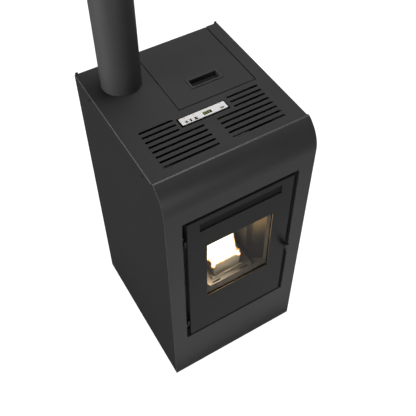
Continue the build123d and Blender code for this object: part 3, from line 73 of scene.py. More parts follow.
def add(tree, kind, settings=(), **inputs):
    """A node with its settings and inputs. An input goes by its name, or as _0 by its number."""
    made = tree.nodes.new(kind)
    for label, value in dict(settings).items():
        setattr(made, label, value)
    for label, value in inputs.items():
        key = int(label[1:]) if label[0] == "_" else label.replace("_", " ")
        put(tree, made.inputs[key], value)
    return made


def use_group(tree, group, **inputs):
    """A node that uses a shared node group."""
    return add(tree, "ShaderNodeGroup", {"node_tree": group}, **inputs)


def calc(tree, operation, a, b=0.0, c=0.0):
    """The result of a math node."""
    return add(tree, "ShaderNodeMath", {"operation": operation}, _0=a, _1=b, _2=c).outputs[0]


def blend_colour(tree, amount, a, b):
    """A colour between a and b."""
    made = add(tree, "ShaderNodeMix", {"data_type": "RGBA"}, _0=amount, _6=a, _7=b)
    return made.outputs[2]


def grey(value, warm=0.0):
    """A near-neutral colour, a little warmer or cooler."""
    return (value * (1 + warm), value, value * (1 - warm), 1.0)


def new_material(name):
    """A material, its node tree and its shader."""
    made = bpy.data.materials.new(name)
    made.use_nodes = True
    return made, made.node_tree, made.node_tree.nodes["Principled BSDF"]


def feed(tree, shader, **inputs):
    """Sets or joins sockets of the shader."""
    for label, value in inputs.items():
        put(tree, shader.inputs[label.replace("_", " ")], value)


def in_place(tree):
    """Coordinates in metres on the piece."""
    return add(tree, "ShaderNodeTexCoord").outputs["Object"]


def dress(finish, *nodes):
    """Gives a finish to nodes of the frame."""
    for label in nodes:
        cad[label].data.materials.clear()
        cad[label].data.materials.append(finish)


# Rounded edges, for sheets, castings and mouldings, with a mask of the edges that the paints
# turn paler: part worn coat and part painted highlight.
edges, edge_in, edge_out = node_group(
    "rounded_edges", [("Radius", "NodeSocketFloat", 0.0008)],
    [("Normal", "NodeSocketVector"), ("Edge", "NodeSocketFloat")])
edge_bevel = add(edges, "ShaderNodeBevel", {"samples": 6}, Radius=edge_in.outputs["Radius"])
edge_face = add(edges, "ShaderNodeNewGeometry")
edge_dot = add(edges, "ShaderNodeVectorMath", {"operation": "DOT_PRODUCT"},
               _0=edge_bevel.outputs[0], _1=edge_face.outputs["True Normal"])
edge_mask = add(edges, "ShaderNodeMapRange", Value=edge_dot.outputs["Value"], From_Min=0.995,
                From_Max=0.8, To_Min=0.0, To_Max=1.0)
edges.links.new(edge_bevel.outputs[0], edge_out.inputs["Normal"])
edges.links.new(edge_mask.outputs[0], edge_out.inputs["Edge"])

# Fine grain of a surface, as a height and as a share between two tones.
grain, grain_in, grain_out = node_group(
    "fine_grain", [("Place", "NodeSocketVector", (0, 0, 0)), ("Scale", "NodeSocketFloat", 900.0),
                   ("Blotch", "NodeSocketFloat", 9.0)],
    [("Height", "NodeSocketFloat"), ("Tone", "NodeSocketFloat")])
grain_small = add(grain, "ShaderNodeTexNoise", Vector=grain_in.outputs["Place"],
                  Scale=grain_in.outputs["Scale"], Detail=3.0, Roughness=0.6)
grain_large = add(grain, "ShaderNodeTexNoise", Vector=grain_in.outputs["Place"],
                  Scale=grain_in.outputs["Blotch"], Detail=4.0, Roughness=0.55)
grain.links.new(grain_small.outputs[0], grain_out.inputs["Height"])
grain.links.new(grain_large.outputs[0], grain_out.inputs["Tone"])

ZINC_CRYSTAL = 55.0
zinc, zinc_tree, zinc_shader = new_material("galvanised_sheet")
zinc_place = in_place(zinc_tree)
zinc_cells = add(zinc_tree, "ShaderNodeTexVoronoi", Vector=zinc_place, Scale=ZINC_CRYSTAL,
                 Randomness=1.0)
zinc_tone = add(zinc_tree, "ShaderNodeSeparateColor", Color=zinc_cells.outputs["Color"])
zinc_edges = use_group(zinc_tree, edges)
zinc_grain = use_group(zinc_tree, grain, Place=zinc_place)
zinc_base = blend_colour(zinc_tree, zinc_tone.outputs[0], grey(0.42), grey(0.56))
zinc_bump = add(zinc_tree, "ShaderNodeBump", Strength=0.08, Distance=0.0002,
                Height=zinc_grain.outputs["Height"], Normal=zinc_edges.outputs["Normal"])
feed(zinc_tree, zinc_shader, Base_Color=zinc_base, Metallic=1.0,
     Roughness=add(zinc_tree, "ShaderNodeMapRange", Value=zinc_tone.outputs[1], To_Min=0.32,
                   To_Max=0.52).outputs[0], Normal=zinc_bump.outputs[0])
dress(zinc, "base_tray", "left_chassis_plate", "right_chassis_plate")

# ------------------------------------------------------------------ levelling feet
# Nylon pads on threaded studs that screw into the base tray. Pad and stud are black and matt,
# a little mottled where dust has settled.
rubber, rubber_tree, rubber_shader = new_material("black_nylon")
rubber_place = in_place(rubber_tree)
rubber_grain = use_group(rubber_tree, grain, Place=rubber_place, Scale=1400.0, Blotch=60.0)
rubber_bump = add(rubber_tree, "ShaderNodeBump", Strength=0.15, Distance=0.0002,
                  Height=rubber_grain.outputs["Height"])
feed(rubber_tree, rubber_shader,
     Base_Color=blend_colour(rubber_tree, rubber_grain.outputs["Tone"], grey(0.011), grey(0.022)),
     Roughness=0.62, Normal=rubber_bump.outputs[0])
dress(rubber, "foot_front_left", "foot_front_right", "foot_rear_left", "foot_rear_right")


# ------------------------------------------------------------------ cabinet panels
# Steel sheet with a fine-textured powder coat in charcoal grey: side panels, top plate, rear
# panel and hopper lid. Its folded and cut edges are paler: the coat thins a little there, and the
# paleness is also painted highlight.
def painted(name, tone, rough, depth, scale, edge_gain, spec, inner=None, beyond=None):
    """A coat of paint with grain, soft blotches and paler edges, part worn coat and part painted
    highlight. With inner, a tone and the reach in X and Z, walls that face sideways or up within
    the reach have that lighter tone, as painted light. With beyond, an axis, its sense, a place and
    a tone, all that lies further that way has the tone, which is painted light where it is used."""
    made, tree, shader = new_material(name)
    place = in_place(tree)
    fine = use_group(tree, grain, Place=place, Scale=scale)
    edge_shape = use_group(tree, edges)
    coat = blend_colour(tree, fine.outputs["Tone"], grey(tone * 0.88), grey(tone * 1.12))
    # Paler edges: part worn coat, part painted highlight.
    worn_and_highlit_edge = calc(tree, "MULTIPLY", edge_shape.outputs["Edge"], edge_gain)
    coat = blend_colour(tree, worn_and_highlit_edge, coat, grey(tone * 3.2))
    if inner or beyond:
        spot = add(tree, "ShaderNodeSeparateXYZ", Vector=place)
    # Lighter walls within the reach: painted light.
    if inner:
        inner_tone, reach_x, reach_z = inner
        turned_to = add(tree, "ShaderNodeSeparateXYZ",
                        Vector=add(tree, "ShaderNodeNewGeometry").outputs["True Normal"])
        sideways = calc(tree, "LESS_THAN", calc(tree, "ABSOLUTE", turned_to.outputs["Y"]), 0.5)
        within = calc(tree, "LESS_THAN", calc(tree, "ABSOLUTE", spot.outputs["X"]), reach_x)
        below = calc(tree, "LESS_THAN", spot.outputs["Z"], reach_z)
        painted_wall_light = calc(tree, "MULTIPLY", sideways, calc(tree, "MULTIPLY", within, below))
        coat = blend_colour(tree, painted_wall_light, coat, grey(inner_tone))
    # All past the place takes its own tone: painted light where it is used.
    if beyond:
        axis, sense, start, far_tone = beyond
        along = calc(tree, "MULTIPLY", spot.outputs[axis], sense)
        past = calc(tree, "GREATER_THAN", along, start)
        coat = blend_colour(tree, past, coat, grey(far_tone))
    bump = add(tree, "ShaderNodeBump", Strength=depth, Distance=0.0003,
               Height=fine.outputs["Height"], Normal=edge_shape.outputs["Normal"])
    sheen = add(tree, "ShaderNodeMapRange", Value=fine.outputs["Tone"], To_Min=rough - 0.04,
                To_Max=rough + 0.04)
    feed(tree, shader, Base_Color=coat, Roughness=sheen.outputs[0], Normal=bump.outputs[0],
         Specular_IOR_Level=spec)
    return made


powder = painted("charcoal_powder_coat", tone=0.040, rough=0.62, depth=0.10, scale=1100.0,
                 edge_gain=0.35, spec=0.08)
dress(powder, "top_plate", "rear_panel", "hopper_lid")

# The sides are painted darker than the top, as painted shade, and the left one has a pale band
# along its cut top edge, a painted highlight.
HIGHLIT_TOP_EDGE = 0.0008
shaded_panel_coat = {"tone": 0.020, "rough": 0.62, "depth": 0.10, "scale": 1100.0, "edge_gain": 0.35,
             "spec": 0.05}
shaded_panel_paint = painted("charcoal_shaded_panel_paint", **shaded_panel_coat)
dress(shaded_panel_paint, "right_side_panel")
side_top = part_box("left_side_panel")[1].z
left_panel_paint_with_painted_highlight = painted("left_panel_paint_with_painted_highlight", **shaded_panel_coat,
                          beyond=("Z", 1, side_top - HIGHLIT_TOP_EDGE, 0.13))
dress(left_panel_paint_with_painted_highlight, "left_side_panel")

# ------------------------------------------------------------------ front panel
# One bent sheet in a smoother satin paint of the same charcoal, so that its flat part, its bend
# and its hem each catch the light in their own way. The walls of its door recess are painted
# lighter, as painted light.
RECESS_X = 0.1795            # the painted light's reach to either side of the middle
RECESS_TOP = 0.83            # and its upper end
satin = painted("charcoal_satin_paint", tone=0.034, rough=0.42, depth=0.03, scale=700.0,
                edge_gain=0.3, spec=0.4, inner=(0.08, RECESS_X, RECESS_TOP))
dress(satin, "front_panel")

# ------------------------------------------------------------------ screws
# Pan-head screws, blackened: four in the sides near the top, and rows along the rear panel's edges.
# The door's hinge brackets and the latch's keeper are blackened in the same way.
PAN_R = 0.004
PAN_H = 0.0014
CROSS = 0.0026
black_steel = painted("black_screw_steel", tone=0.005, rough=0.45, depth=0.02, scale=900.0,
                      edge_gain=0.8, spec=0.1)
dress(black_steel, "panel_screws", "hinge_brackets_and_keeper")


def mesh_piece(name, mesh_code, finish, body, smooth_angle=None):
    """A piece of mesh code that rides on a body."""
    mesh = bpy.data.meshes.new(name)
    mesh_code.normal_update()
    mesh_code.to_mesh(mesh)
    mesh_code.free()
    mesh.materials.append(finish)
    piece = bpy.data.objects.new(name, mesh)
    bpy.context.scene.collection.objects.link(piece)
    if smooth_angle is not None:
        for face in mesh.polygons:
            face.use_smooth = True
        mesh.set_sharp_from_angle(angle=math.radians(smooth_angle))
    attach(piece, body)
    return piece


def turned(mesh_code, outline, place, steps):
    """Turns an outline of (radius, height) about Z, closes its ends and puts it in place."""
    rings = []
    for radius, height in outline:
        ring = []
        for i in range(steps):
            angle = 2 * math.pi * i / steps
            point = Vector((radius * math.cos(angle), radius * math.sin(angle), height))
            ring.append(mesh_code.verts.new(place @ point))
        rings.append(ring)
    for low, high in zip(rings, rings[1:]):
        for i in range(steps):
            j = (i + 1) % steps
            mesh_code.faces.new((low[i], low[j], high[j], high[i]))
    mesh_code.faces.new(list(reversed(rings[0])))
    mesh_code.faces.new(rings[-1])


SCREW_INSET = 0.012          # from the side edges
SIDE_SCREW_ZS = (0.06, 0.3, 0.54, 0.78, 0.915)
LOW_SCREW_Z, LOW_SCREW_XS = 0.04, (-0.1, 0.02, 0.1)
HIGH_SCREW_Z, HIGH_SCREW_XS = 0.93, (-0.15, -0.09)
rear_low, rear_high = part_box("rear_panel")
rear_screws = bmesh.new()
pan_outline = [(PAN_R, 0.0), (PAN_R, PAN_H * 0.45), (PAN_R * 0.86, PAN_H * 0.85),
               (PAN_R * 0.5, PAN_H), (CROSS * 0.5, PAN_H), (CROSS * 0.42, PAN_H * 0.35)]
screw_spots = [(x, z) for z in SIDE_SCREW_ZS
               for x in (rear_low.x + SCREW_INSET, rear_high.x - SCREW_INSET)]
screw_spots += [(x, LOW_SCREW_Z) for x in LOW_SCREW_XS]
screw_spots += [(x, HIGH_SCREW_Z) for x in HIGH_SCREW_XS]
facing_back = Matrix.Rotation(-math.pi / 2, 4, "X")
for screw_x, screw_z in screw_spots:
    spot = Matrix.Translation((screw_x, rear_high.y, screw_z)) @ facing_back
    turned(rear_screws, pan_outline, spot, steps=16)
mesh_piece("rear_panel_screws", rear_screws, black_steel, "cabinet", 40)

# ------------------------------------------------------------------ front frame
# Folded sheet across the chassis channels, in grey primer only, since the front panel covers it.
# Its pale tone is also painted light for the shaded gaps and slot round the door. It carries the
# door's hinge brackets and the latch's keeper.
primer_and_painted_light = painted("grey_primer_and_painted_light", tone=0.30, rough=0.55, depth=0.04, scale=900.0,
                       edge_gain=0.1, spec=0.3)
dress(primer_and_painted_light, "front_frame")

# ------------------------------------------------------------------ firebox shell and ducts
# Welded plate with a heat-proof paint that has gone chalky, greyer and browner where it is hot.
# Ducts and fan cases have the same paint. The firebox's front is painted pale above the stoking
# opening, as painted light for the shaded view through the door's slot.
PALE_FROM_Z = 0.705
FACE_SKIN = 0.001            # how far behind a face its own tone reaches
scale_plate, scale_tree, scale_shader = new_material("heated_steel_plate")
scale_place = in_place(scale_tree)
scale_grain = use_group(scale_tree, grain, Place=scale_place, Scale=420.0, Blotch=14.0)
scale_worn = use_group(scale_tree, edges)
scale_tone = add(scale_tree, "ShaderNodeMapRange", Value=scale_grain.outputs["Tone"],
                 From_Min=0.35, From_Max=0.65)
scale_base = blend_colour(scale_tree, scale_tone.outputs[0], grey(0.07, 0.04), grey(0.13, 0.12))
scale_bump = add(scale_tree, "ShaderNodeBump", Strength=0.2, Distance=0.0004,
                 Height=scale_grain.outputs["Height"], Normal=scale_worn.outputs["Normal"])
shell_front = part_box("firebox_body")[0].y
scale_spot = add(scale_tree, "ShaderNodeSeparateXYZ", Vector=scale_place)
# Pale tone on the firebox's front above the opening: painted light.
scale_painted_light = calc(scale_tree, "MULTIPLY",
                  calc(scale_tree, "LESS_THAN", scale_spot.outputs["Y"], shell_front + FACE_SKIN),
                  calc(scale_tree, "GREATER_THAN", scale_spot.outputs["Z"], PALE_FROM_Z))
scale_base = blend_colour(scale_tree, scale_painted_light, scale_base, grey(0.8))
feed(scale_tree, scale_shader, Base_Color=scale_base, Metallic=0.0, Roughness=0.6,
     Normal=scale_bump.outputs[0])
dress(scale_plate, "firebox_body", "warm_air_tubes", "burner_support", "smoke_box",
      "smoke_fan_case", "pellet_chute", "auger_tube", "warm_air_duct", "room_fan_case")

# ------------------------------------------------------------------ firebox liners and baffle
# Pressed vermiculite boards against the firebox's walls, sand-coloured with mica flecks. Smoke has
# blackened them near the floor and behind the fire.
SOOT_TOP = (0.445, 0.66)     # Z from which the smoke's black fades, and where it ends
SOOT_SIDE = (0.080, 0.120)   # the same, out from the middle in X
board, board_tree, board_shader = new_material("vermiculite_board")
board_place = in_place(board_tree)
board_grain = use_group(board_tree, grain, Place=board_place, Scale=260.0, Blotch=11.0)
board_flecks = add(board_tree, "ShaderNodeTexVoronoi", Vector=board_place, Scale=420.0)
board_split = add(board_tree, "ShaderNodeSeparateXYZ", Vector=board_place)
board_rise = add(board_tree, "ShaderNodeMapRange", {"interpolation_type": "SMOOTHSTEP"},
                 Value=board_split.outputs["Z"], From_Min=SOOT_TOP[0],
                 From_Max=SOOT_TOP[1])
board_out = add(board_tree, "ShaderNodeMapRange", {"interpolation_type": "SMOOTHSTEP"},
                Value=calc(board_tree, "ABSOLUTE", board_split.outputs["X"]),
                From_Min=SOOT_SIDE[0], From_Max=SOOT_SIDE[1])
board_clean = calc(board_tree, "MULTIPLY", board_rise.outputs[0], board_out.outputs[0])
board_fleck = add(board_tree, "ShaderNodeMapRange", Value=board_flecks.outputs["Distance"],
                  From_Min=0.05, From_Max=0.35)
board_sand = blend_colour(board_tree, board_grain.outputs["Tone"], (0.60, 0.45, 0.22, 1),
                          (0.72, 0.55, 0.28, 1))
board_sand = blend_colour(board_tree, board_fleck.outputs[0], (0.52, 0.42, 0.27, 1), board_sand)
board_base = blend_colour(board_tree, board_clean, (0.014, 0.012, 0.009, 1), board_sand)
board_bump = add(board_tree, "ShaderNodeBump", Strength=0.35, Distance=0.0006,
                 Height=board_grain.outputs["Height"])
feed(board_tree, board_shader, Base_Color=board_base, Roughness=0.85, Normal=board_bump.outputs[0])
dress(board, "firebox_liners", "baffle_plate")

# ------------------------------------------------------------------ burn pot, apron, ash pan
# Stainless sheet, brushed along the stove's width and straw-coloured by heat near the fire. The
# igniter, the pipe's liner and the turning parts are plain stainless with an upright grain.
ACROSS = (8.0, 900.0, 900.0)         # scale of the brushed lines in X, Y and Z
UPRIGHT = (900.0, 900.0, 8.0)
brushed, brushed_in, brushed_out = node_group(
    "brushed_lines", [("Place", "NodeSocketVector", (0, 0, 0)),
                      ("Stretch", "NodeSocketVector", ACROSS)],
    [("Height", "NodeSocketFloat")])
brushed_map = add(brushed, "ShaderNodeVectorMath", {"operation": "MULTIPLY"},
                  _0=brushed_in.outputs["Place"], _1=brushed_in.outputs["Stretch"])
brushed_noise = add(brushed, "ShaderNodeTexNoise", Vector=brushed_map.outputs[0], Scale=1.0,
                    Detail=4.0)
brushed.links.new(brushed_noise.outputs[0], brushed_out.inputs["Height"])


def stainless(name, clean, tint, rough, stretch, bare=1.0):
    """Brushed stainless steel with a heat tint in blotches. Ash dulls it where bare is below 1."""
    made, tree, shader = new_material(name)
    place = in_place(tree)
    lines = use_group(tree, brushed, Place=place, Stretch=stretch)
    blotch = use_group(tree, grain, Place=place, Blotch=22.0)
    edge_shape = use_group(tree, edges, Radius=0.0006)
    share = add(tree, "ShaderNodeMapRange", Value=blotch.outputs["Tone"], From_Min=0.38,
                From_Max=0.62)
    steel = blend_colour(tree, share.outputs[0], clean, tint)
    bump = add(tree, "ShaderNodeBump", Strength=0.12, Distance=0.0002,
               Height=lines.outputs["Height"], Normal=edge_shape.outputs["Normal"])
    shine = add(tree, "ShaderNodeMapRange", Value=lines.outputs["Height"], To_Min=rough - 0.08,
                To_Max=rough + 0.08)
    feed(tree, shader, Base_Color=steel, Metallic=bare, Roughness=shine.outputs[0],
         Normal=bump.outputs[0])
    return made


pot_steel = stainless("straw_tinted_stainless", clean=(0.56, 0.52, 0.42, 1),
                      tint=(0.46, 0.42, 0.33, 1), rough=0.6, stretch=ACROSS, bare=0.2)
dress(pot_steel, "burn_pot")
apron_steel = stainless("dulled_stainless", clean=(0.42, 0.42, 0.41, 1),
                        tint=(0.30, 0.30, 0.29, 1), rough=0.36, stretch=ACROSS)
dress(apron_steel, "apron_plate", "ash_pan")
plain_steel = stainless("plain_stainless", clean=(0.55, 0.54, 0.52, 1),
                        tint=(0.45, 0.44, 0.42, 1), rough=0.32, stretch=UPRIGHT)
dress(plain_steel, "igniter", "flue_liner", "auger_screw", "smoke_fan_impeller", "latch_cam")

# ------------------------------------------------------------------ fire
# Pellets glow in the pot, and the flame stands over them. The flame is soft gas, so it is made as
# two nested skins: a white-hot body, and a thin orange rim round it.
pot_low, pot_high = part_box("burn_pot")
pot_mid = (pot_low + pot_high) / 2


def glowing(name, colour, strength, alpha=1.0):
    """Something that shines by itself, a little uneven."""
    made, tree, shader = new_material(name)
    blotch = use_group(tree, grain, Place=in_place(tree), Scale=300.0, Blotch=45.0)
    dim = tuple(c * 0.55 for c in colour[:3]) + (1.0,)
    light = blend_colour(tree, blotch.outputs["Tone"], dim, colour)
    feed(tree, shader, Base_Color=(0.02, 0.015, 0.01, 1), Roughness=0.9, Emission_Color=light,
         Emission_Strength=strength, Alpha=alpha)
    return made


PELLET_R = 0.003
PELLET_EDGE = 0.0006         # height of a pellet's worn edge
PELLET_COUNT = 90
PELLET_SPREAD = 0.034        # from the pot's middle, in X and Y
PELLET_FLOOR = 0.012         # lowest pellet's middle over the pot's underside
PELLET_HEAP = 0.022
PELLET_TIP = 0.3             # how far a lying pellet tips, in radians
ember = glowing("glowing_pellets", (1.0, 0.32, 0.06, 1), strength=3.0)
pellets = bmesh.new()
chance = random.Random(7)
for i in range(PELLET_COUNT):
    spot = Vector((pot_mid.x + chance.uniform(-PELLET_SPREAD, PELLET_SPREAD),
                   pot_mid.y + chance.uniform(-PELLET_SPREAD, PELLET_SPREAD),
                   pot_low.z + PELLET_FLOOR + PELLET_HEAP * chance.random()))
    heading = Matrix.Rotation(chance.uniform(0, 6.28), 4, "Z")
    tipped = Matrix.Rotation(math.pi / 2 + chance.uniform(-PELLET_TIP, PELLET_TIP), 4, "X")
    half = chance.uniform(0.006, 0.012) / 2
    turned(pellets, [(PELLET_R * 0.8, -half), (PELLET_R, -half + PELLET_EDGE),
                     (PELLET_R, half - PELLET_EDGE), (PELLET_R * 0.8, half)],
           Matrix.Translation(spot) @ heading @ tipped, steps=8)
mesh_piece("glowing_pellets", pellets, ember, "burn_pot", 50)

# Tongues as (x, y) of the foot from the pot's middle, the foot's height under the rim, the widest
# radius and the tip's height above the rim, from the front row to the back row.
tongues = [(-0.041, -0.033, 0.002, 0.008, 0.120), (-0.033, -0.031, 0.014, 0.015, 0.175),
           (-0.052, -0.034, -0.085, 0.007, 0.108), (-0.047, -0.034, -0.015, 0.006, 0.034),
           (-0.014, -0.031, 0.014, 0.017, 0.205), (0.003, -0.031, 0.014, 0.016, 0.150),
           (0.016, -0.030, 0.014, 0.014, 0.115), (0.029, -0.031, 0.012, 0.011, 0.050),
           (-0.038, -0.008, 0.014, 0.016, 0.165), (-0.020, -0.006, 0.014, 0.019, 0.215),
           (0.000, -0.006, 0.014, 0.019, 0.150), (0.018, -0.006, 0.014, 0.015, 0.080),
           (-0.032, 0.018, 0.014, 0.017, 0.180), (-0.012, 0.020, 0.014, 0.019, 0.155),
           (0.010, 0.020, 0.014, 0.016, 0.070), (0.042, -0.044, 0.007, 0.0065, 0.015),
           (-0.046, -0.044, 0.008, 0.0055, 0.012)]
FLAME_LEVELS = 15
FLAME_SIDES = 20
FLAME_LEAN = 0.010           # how far a tongue's middle sways
FLAME_RIPPLE = 0.20          # how uneven its sides are, as a share of its radius
FLAME_RIM = 0.0024           # thickness of the orange rim
SKIN_VOXEL = 0.0022


def flame_skin(name, grow, finish):
    """Tongues of fire that lean and taper, joined into one smooth skin."""
    fire = bmesh.new()
    for number, (dx, dy, foot, width, height) in enumerate(tongues):
        rings = []
        for level in range(FLAME_LEVELS):
            share = level / (FLAME_LEVELS - 1)
            # Narrower at the foot, widest a little above it, and tapered to the tip.
            swell = min(1.0, 0.72 + 2.2 * share) * (1 - share ** 2.6) ** 0.7
            radius = width * swell + grow
            lean = FLAME_LEAN * (math.sin(5 * share + number) - math.sin(number)) * share
            ring = []
            for i in range(FLAME_SIDES):
                angle = 2 * math.pi * i / FLAME_SIDES
                spot = Vector((math.cos(angle) * 1.7 + number, math.sin(angle) * 1.7, share * 7))
                ripple = 1 + FLAME_RIPPLE * noise.noise(spot)
                ring.append(fire.verts.new((
                    pot_mid.x + dx + lean + radius * ripple * math.cos(angle),
                    pot_mid.y + dy + 0.3 * lean + radius * ripple * math.sin(angle),
                    pot_high.z - foot - grow + (height + foot + 2 * grow) * share)))
            rings.append(ring)
        for low, top in zip(rings, rings[1:]):
            for i in range(FLAME_SIDES):
                j = (i + 1) % FLAME_SIDES
                fire.faces.new((low[i], low[j], top[j], top[i]))
        fire.faces.new(list(reversed(rings[0])))
        fire.faces.new(rings[-1])
    skin = mesh_piece(name, fire, finish, "burn_pot")
    skin.modifiers.new("join", "REMESH").voxel_size = SKIN_VOXEL
    soften = skin.modifiers.new("soften", "SMOOTH")
    soften.factor, soften.iterations = 0.6, 5
    settled = skin.evaluated_get(bpy.context.evaluated_depsgraph_get())
    whole = bpy.data.meshes.new_from_object(settled)
    skin.modifiers.clear()
    skin.data = whole
    for face in whole.polygons:
        face.use_smooth = True
    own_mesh(skin)


flame_core = glowing("flame_core", (1.0, 0.86, 0.62, 1), strength=7.0)
flame_rim = glowing("flame_rim", (1.0, 0.38, 0.05, 1), strength=1.6, alpha=0.5)
flame_skin("flame_body", 0.0, flame_core)
flame_skin("flame_rim", FLAME_RIM, flame_rim)

# ------------------------------------------------------------------ door
# Folded black satin steel face over a cast frame, which is sand-textured under its paint. The
# door hangs on two pins at its left edge, and its handle turns the latch at the right one.
DOOR_EDGE_X = 0.1645         # just inside the face's outer edges, which keep their full coat
DOOR_EDGE_Z = 0.81
# The door's sideways walls within the reach, and its left edge past it, are painted lighter:
# painted light.
door_paint = painted("black_satin_door_paint", tone=0.013, rough=0.42, depth=0.03, scale=700.0,
                     edge_gain=0.3, spec=0.2, inner=(0.05, DOOR_EDGE_X, DOOR_EDGE_Z),
                     beyond=("X", -1, DOOR_EDGE_X, 0.02))
dress(door_paint, "door_face")
handle_paint = painted("black_gloss_handle_paint", tone=0.018, rough=0.3, depth=0.03, scale=700.0,
                       edge_gain=0.6, spec=0.3)
dress(handle_paint, "latch_handle")
cast_paint = painted("black_cast_iron_paint", tone=0.035, rough=0.65, depth=0.5, scale=380.0,
                     edge_gain=0.5, spec=0.2)
dress(cast_paint, "door_frame")

# Ceramic glass, clear with a faint warm tint, and a thin soot haze in patches.
pane, pane_tree, pane_shader = new_material("ceramic_glass")
pane_grain = use_group(pane_tree, grain, Place=in_place(pane_tree), Blotch=18.0)
pane_soot = add(pane_tree, "ShaderNodeMapRange", Value=pane_grain.outputs["Tone"], From_Min=0.4,
                From_Max=0.75, To_Min=0.0, To_Max=1.0)
feed(pane_tree, pane_shader, Roughness=0.02, IOR=1.12, Transmission_Weight=1.0,
     Base_Color=blend_colour(pane_tree, pane_soot.outputs[0], (0.93, 0.92, 0.89, 1),
                             (0.82, 0.79, 0.73, 1)))
dress(pane, "door_glass")

# A thin bead of straw-coloured steel lines the window, within the face's thickness. Its straw
# colour is painted firelight, a painted highlight along the window's edge.
BEAD_T = 0.0005
BEAD_FRONT, BEAD_BACK = 0.0006, 0.0016       # behind the face's front
GLASS_EDGE = 0.010           # the glass reaches this far beyond the window
glass_low, glass_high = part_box("door_glass")
face_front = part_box("door_face")[0].y

# A box's sides, with its eight corners counted through Z first, then Y, then X.
BOX_SIDES = ((0, 1, 3, 2), (4, 6, 7, 5), (0, 4, 5, 1), (2, 3, 7, 6), (0, 2, 6, 4), (1, 5, 7, 3))


def box_piece(mesh_code, x0, x1, y0, y1, z0, z1):
    """Adds a box."""
    corners = [mesh_code.verts.new((x, y, z)) for x in (x0, x1) for y in (y0, y1) for z in (z0, z1)]
    for side in BOX_SIDES:
        mesh_code.faces.new([corners[i] for i in side])


firelit_bead_finish = stainless("firelit_window_bead_metal", clean=(0.50, 0.40, 0.26, 1),
                       tint=(0.40, 0.30, 0.18, 1), rough=0.4, stretch=ACROSS)
bead = bmesh.new()
bead_x0, bead_x1 = glass_low.x + GLASS_EDGE, glass_high.x - GLASS_EDGE
bead_z0, bead_z1 = glass_low.z + GLASS_EDGE, glass_high.z - GLASS_EDGE
bead_y0, bead_y1 = face_front + BEAD_FRONT, face_front + BEAD_BACK
box_piece(bead, bead_x0, bead_x1, bead_y0, bead_y1, bead_z0, bead_z0 + BEAD_T)
box_piece(bead, bead_x0, bead_x1, bead_y0, bead_y1, bead_z1 - BEAD_T, bead_z1)
box_piece(bead, bead_x0, bead_x0 + BEAD_T, bead_y0, bead_y1, bead_z0 + BEAD_T, bead_z1 - BEAD_T)
box_piece(bead, bead_x1 - BEAD_T, bead_x1, bead_y0, bead_y1, bead_z0 + BEAD_T, bead_z1 - BEAD_T)
mesh_piece("window_bead", bead, firelit_bead_finish, "door")

# Behind the slot hangs a folded sheet that turns the warm air down into the room. It sits close
# behind the face, and its flat dark tone is painted shade that fills the slot.
SLOT_W = 0.255
SLOT_BOTTOM = 0.7505
SLOT_H = 0.033
SHEET_T = 0.0012
SLOT_LAP = 0.004             # the sheet reaches this far beyond the slot's ends and top
SHEET_DROP = 0.012           # and this far below it
SHEET_BACK = 0.0034          # behind the face's front
FLANGE_REACH = 0.009         # from the sheet's front to its flanges' rear edge
# Flat dark tone: painted shade for the slot.
slot_shade_paint = painted("slot_painted_shade_sheet", tone=0.014, rough=0.6, depth=0.05, scale=900.0,
                          edge_gain=0.3, spec=0.1)
deflector = bmesh.new()
deflector_x = SLOT_W / 2 + SLOT_LAP
deflector_y0 = face_front + SHEET_BACK
deflector_y1 = deflector_y0 + SHEET_T
flange_y = deflector_y0 + FLANGE_REACH
deflector_z0, deflector_z1 = SLOT_BOTTOM - SHEET_DROP, SLOT_BOTTOM + SLOT_H + SLOT_LAP
flange_z = deflector_z0 + SHEET_T
box_piece(deflector, -deflector_x, deflector_x, deflector_y0, deflector_y1, deflector_z0,
          deflector_z1)
box_piece(deflector, -deflector_x, deflector_x, deflector_y1, flange_y, deflector_z0, flange_z)
for edge_x in (-deflector_x, deflector_x - SHEET_T):
    box_piece(deflector, edge_x, edge_x + SHEET_T, deflector_y1, flange_y, flange_z, deflector_z1)
mesh_piece("warm_air_deflector", deflector, slot_shade_paint, "door")

# ------------------------------------------------------------------ door rope seals
# Braided glass-fibre rope, graphite black. The thick one sits in the frame's groove, and two flat
# tapes hold the glass.
rope_low, rope_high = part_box("door_rope_seals")
rope_fibre, rope_tree, rope_shader = new_material("graphite_rope")
rope_place = in_place(rope_tree)
rope_weave = add(rope_tree, "ShaderNodeTexWave", {"bands_direction": "DIAGONAL"},
                 Vector=rope_place, Scale=260.0, Distortion=1.5, Detail=2.0)
rope_grain = use_group(rope_tree, grain, Place=rope_place, Scale=1600.0, Blotch=40.0)
rope_height = calc(rope_tree, "ADD", rope_weave.outputs[1], rope_grain.outputs["Height"])
rope_bump = add(rope_tree, "ShaderNodeBump", Strength=0.6, Distance=0.0006, Height=rope_height)
feed(rope_tree, rope_shader,
     Base_Color=blend_colour(rope_tree, rope_weave.outputs[1], grey(0.02), grey(0.075)),
     Roughness=0.8, Normal=rope_bump.outputs[0])

ROPE_R = 0.005
ROPE_BACK = 0.0055           # the rope's middle line in front of the seals' rear
ROPE_CORNER = 0.014
ROPE_STEP = 0.003            # between points along the rope
TAPE_INSET = 0.005           # the tapes' middle line inside the glass's edges
TAPE_HALF = 0.0005           # half a tape's thickness
TAPE_CORNER = 0.004
TAPE_STEP = 0.004
CORNER_STEPS = 8
STRAND_SIDES = 8


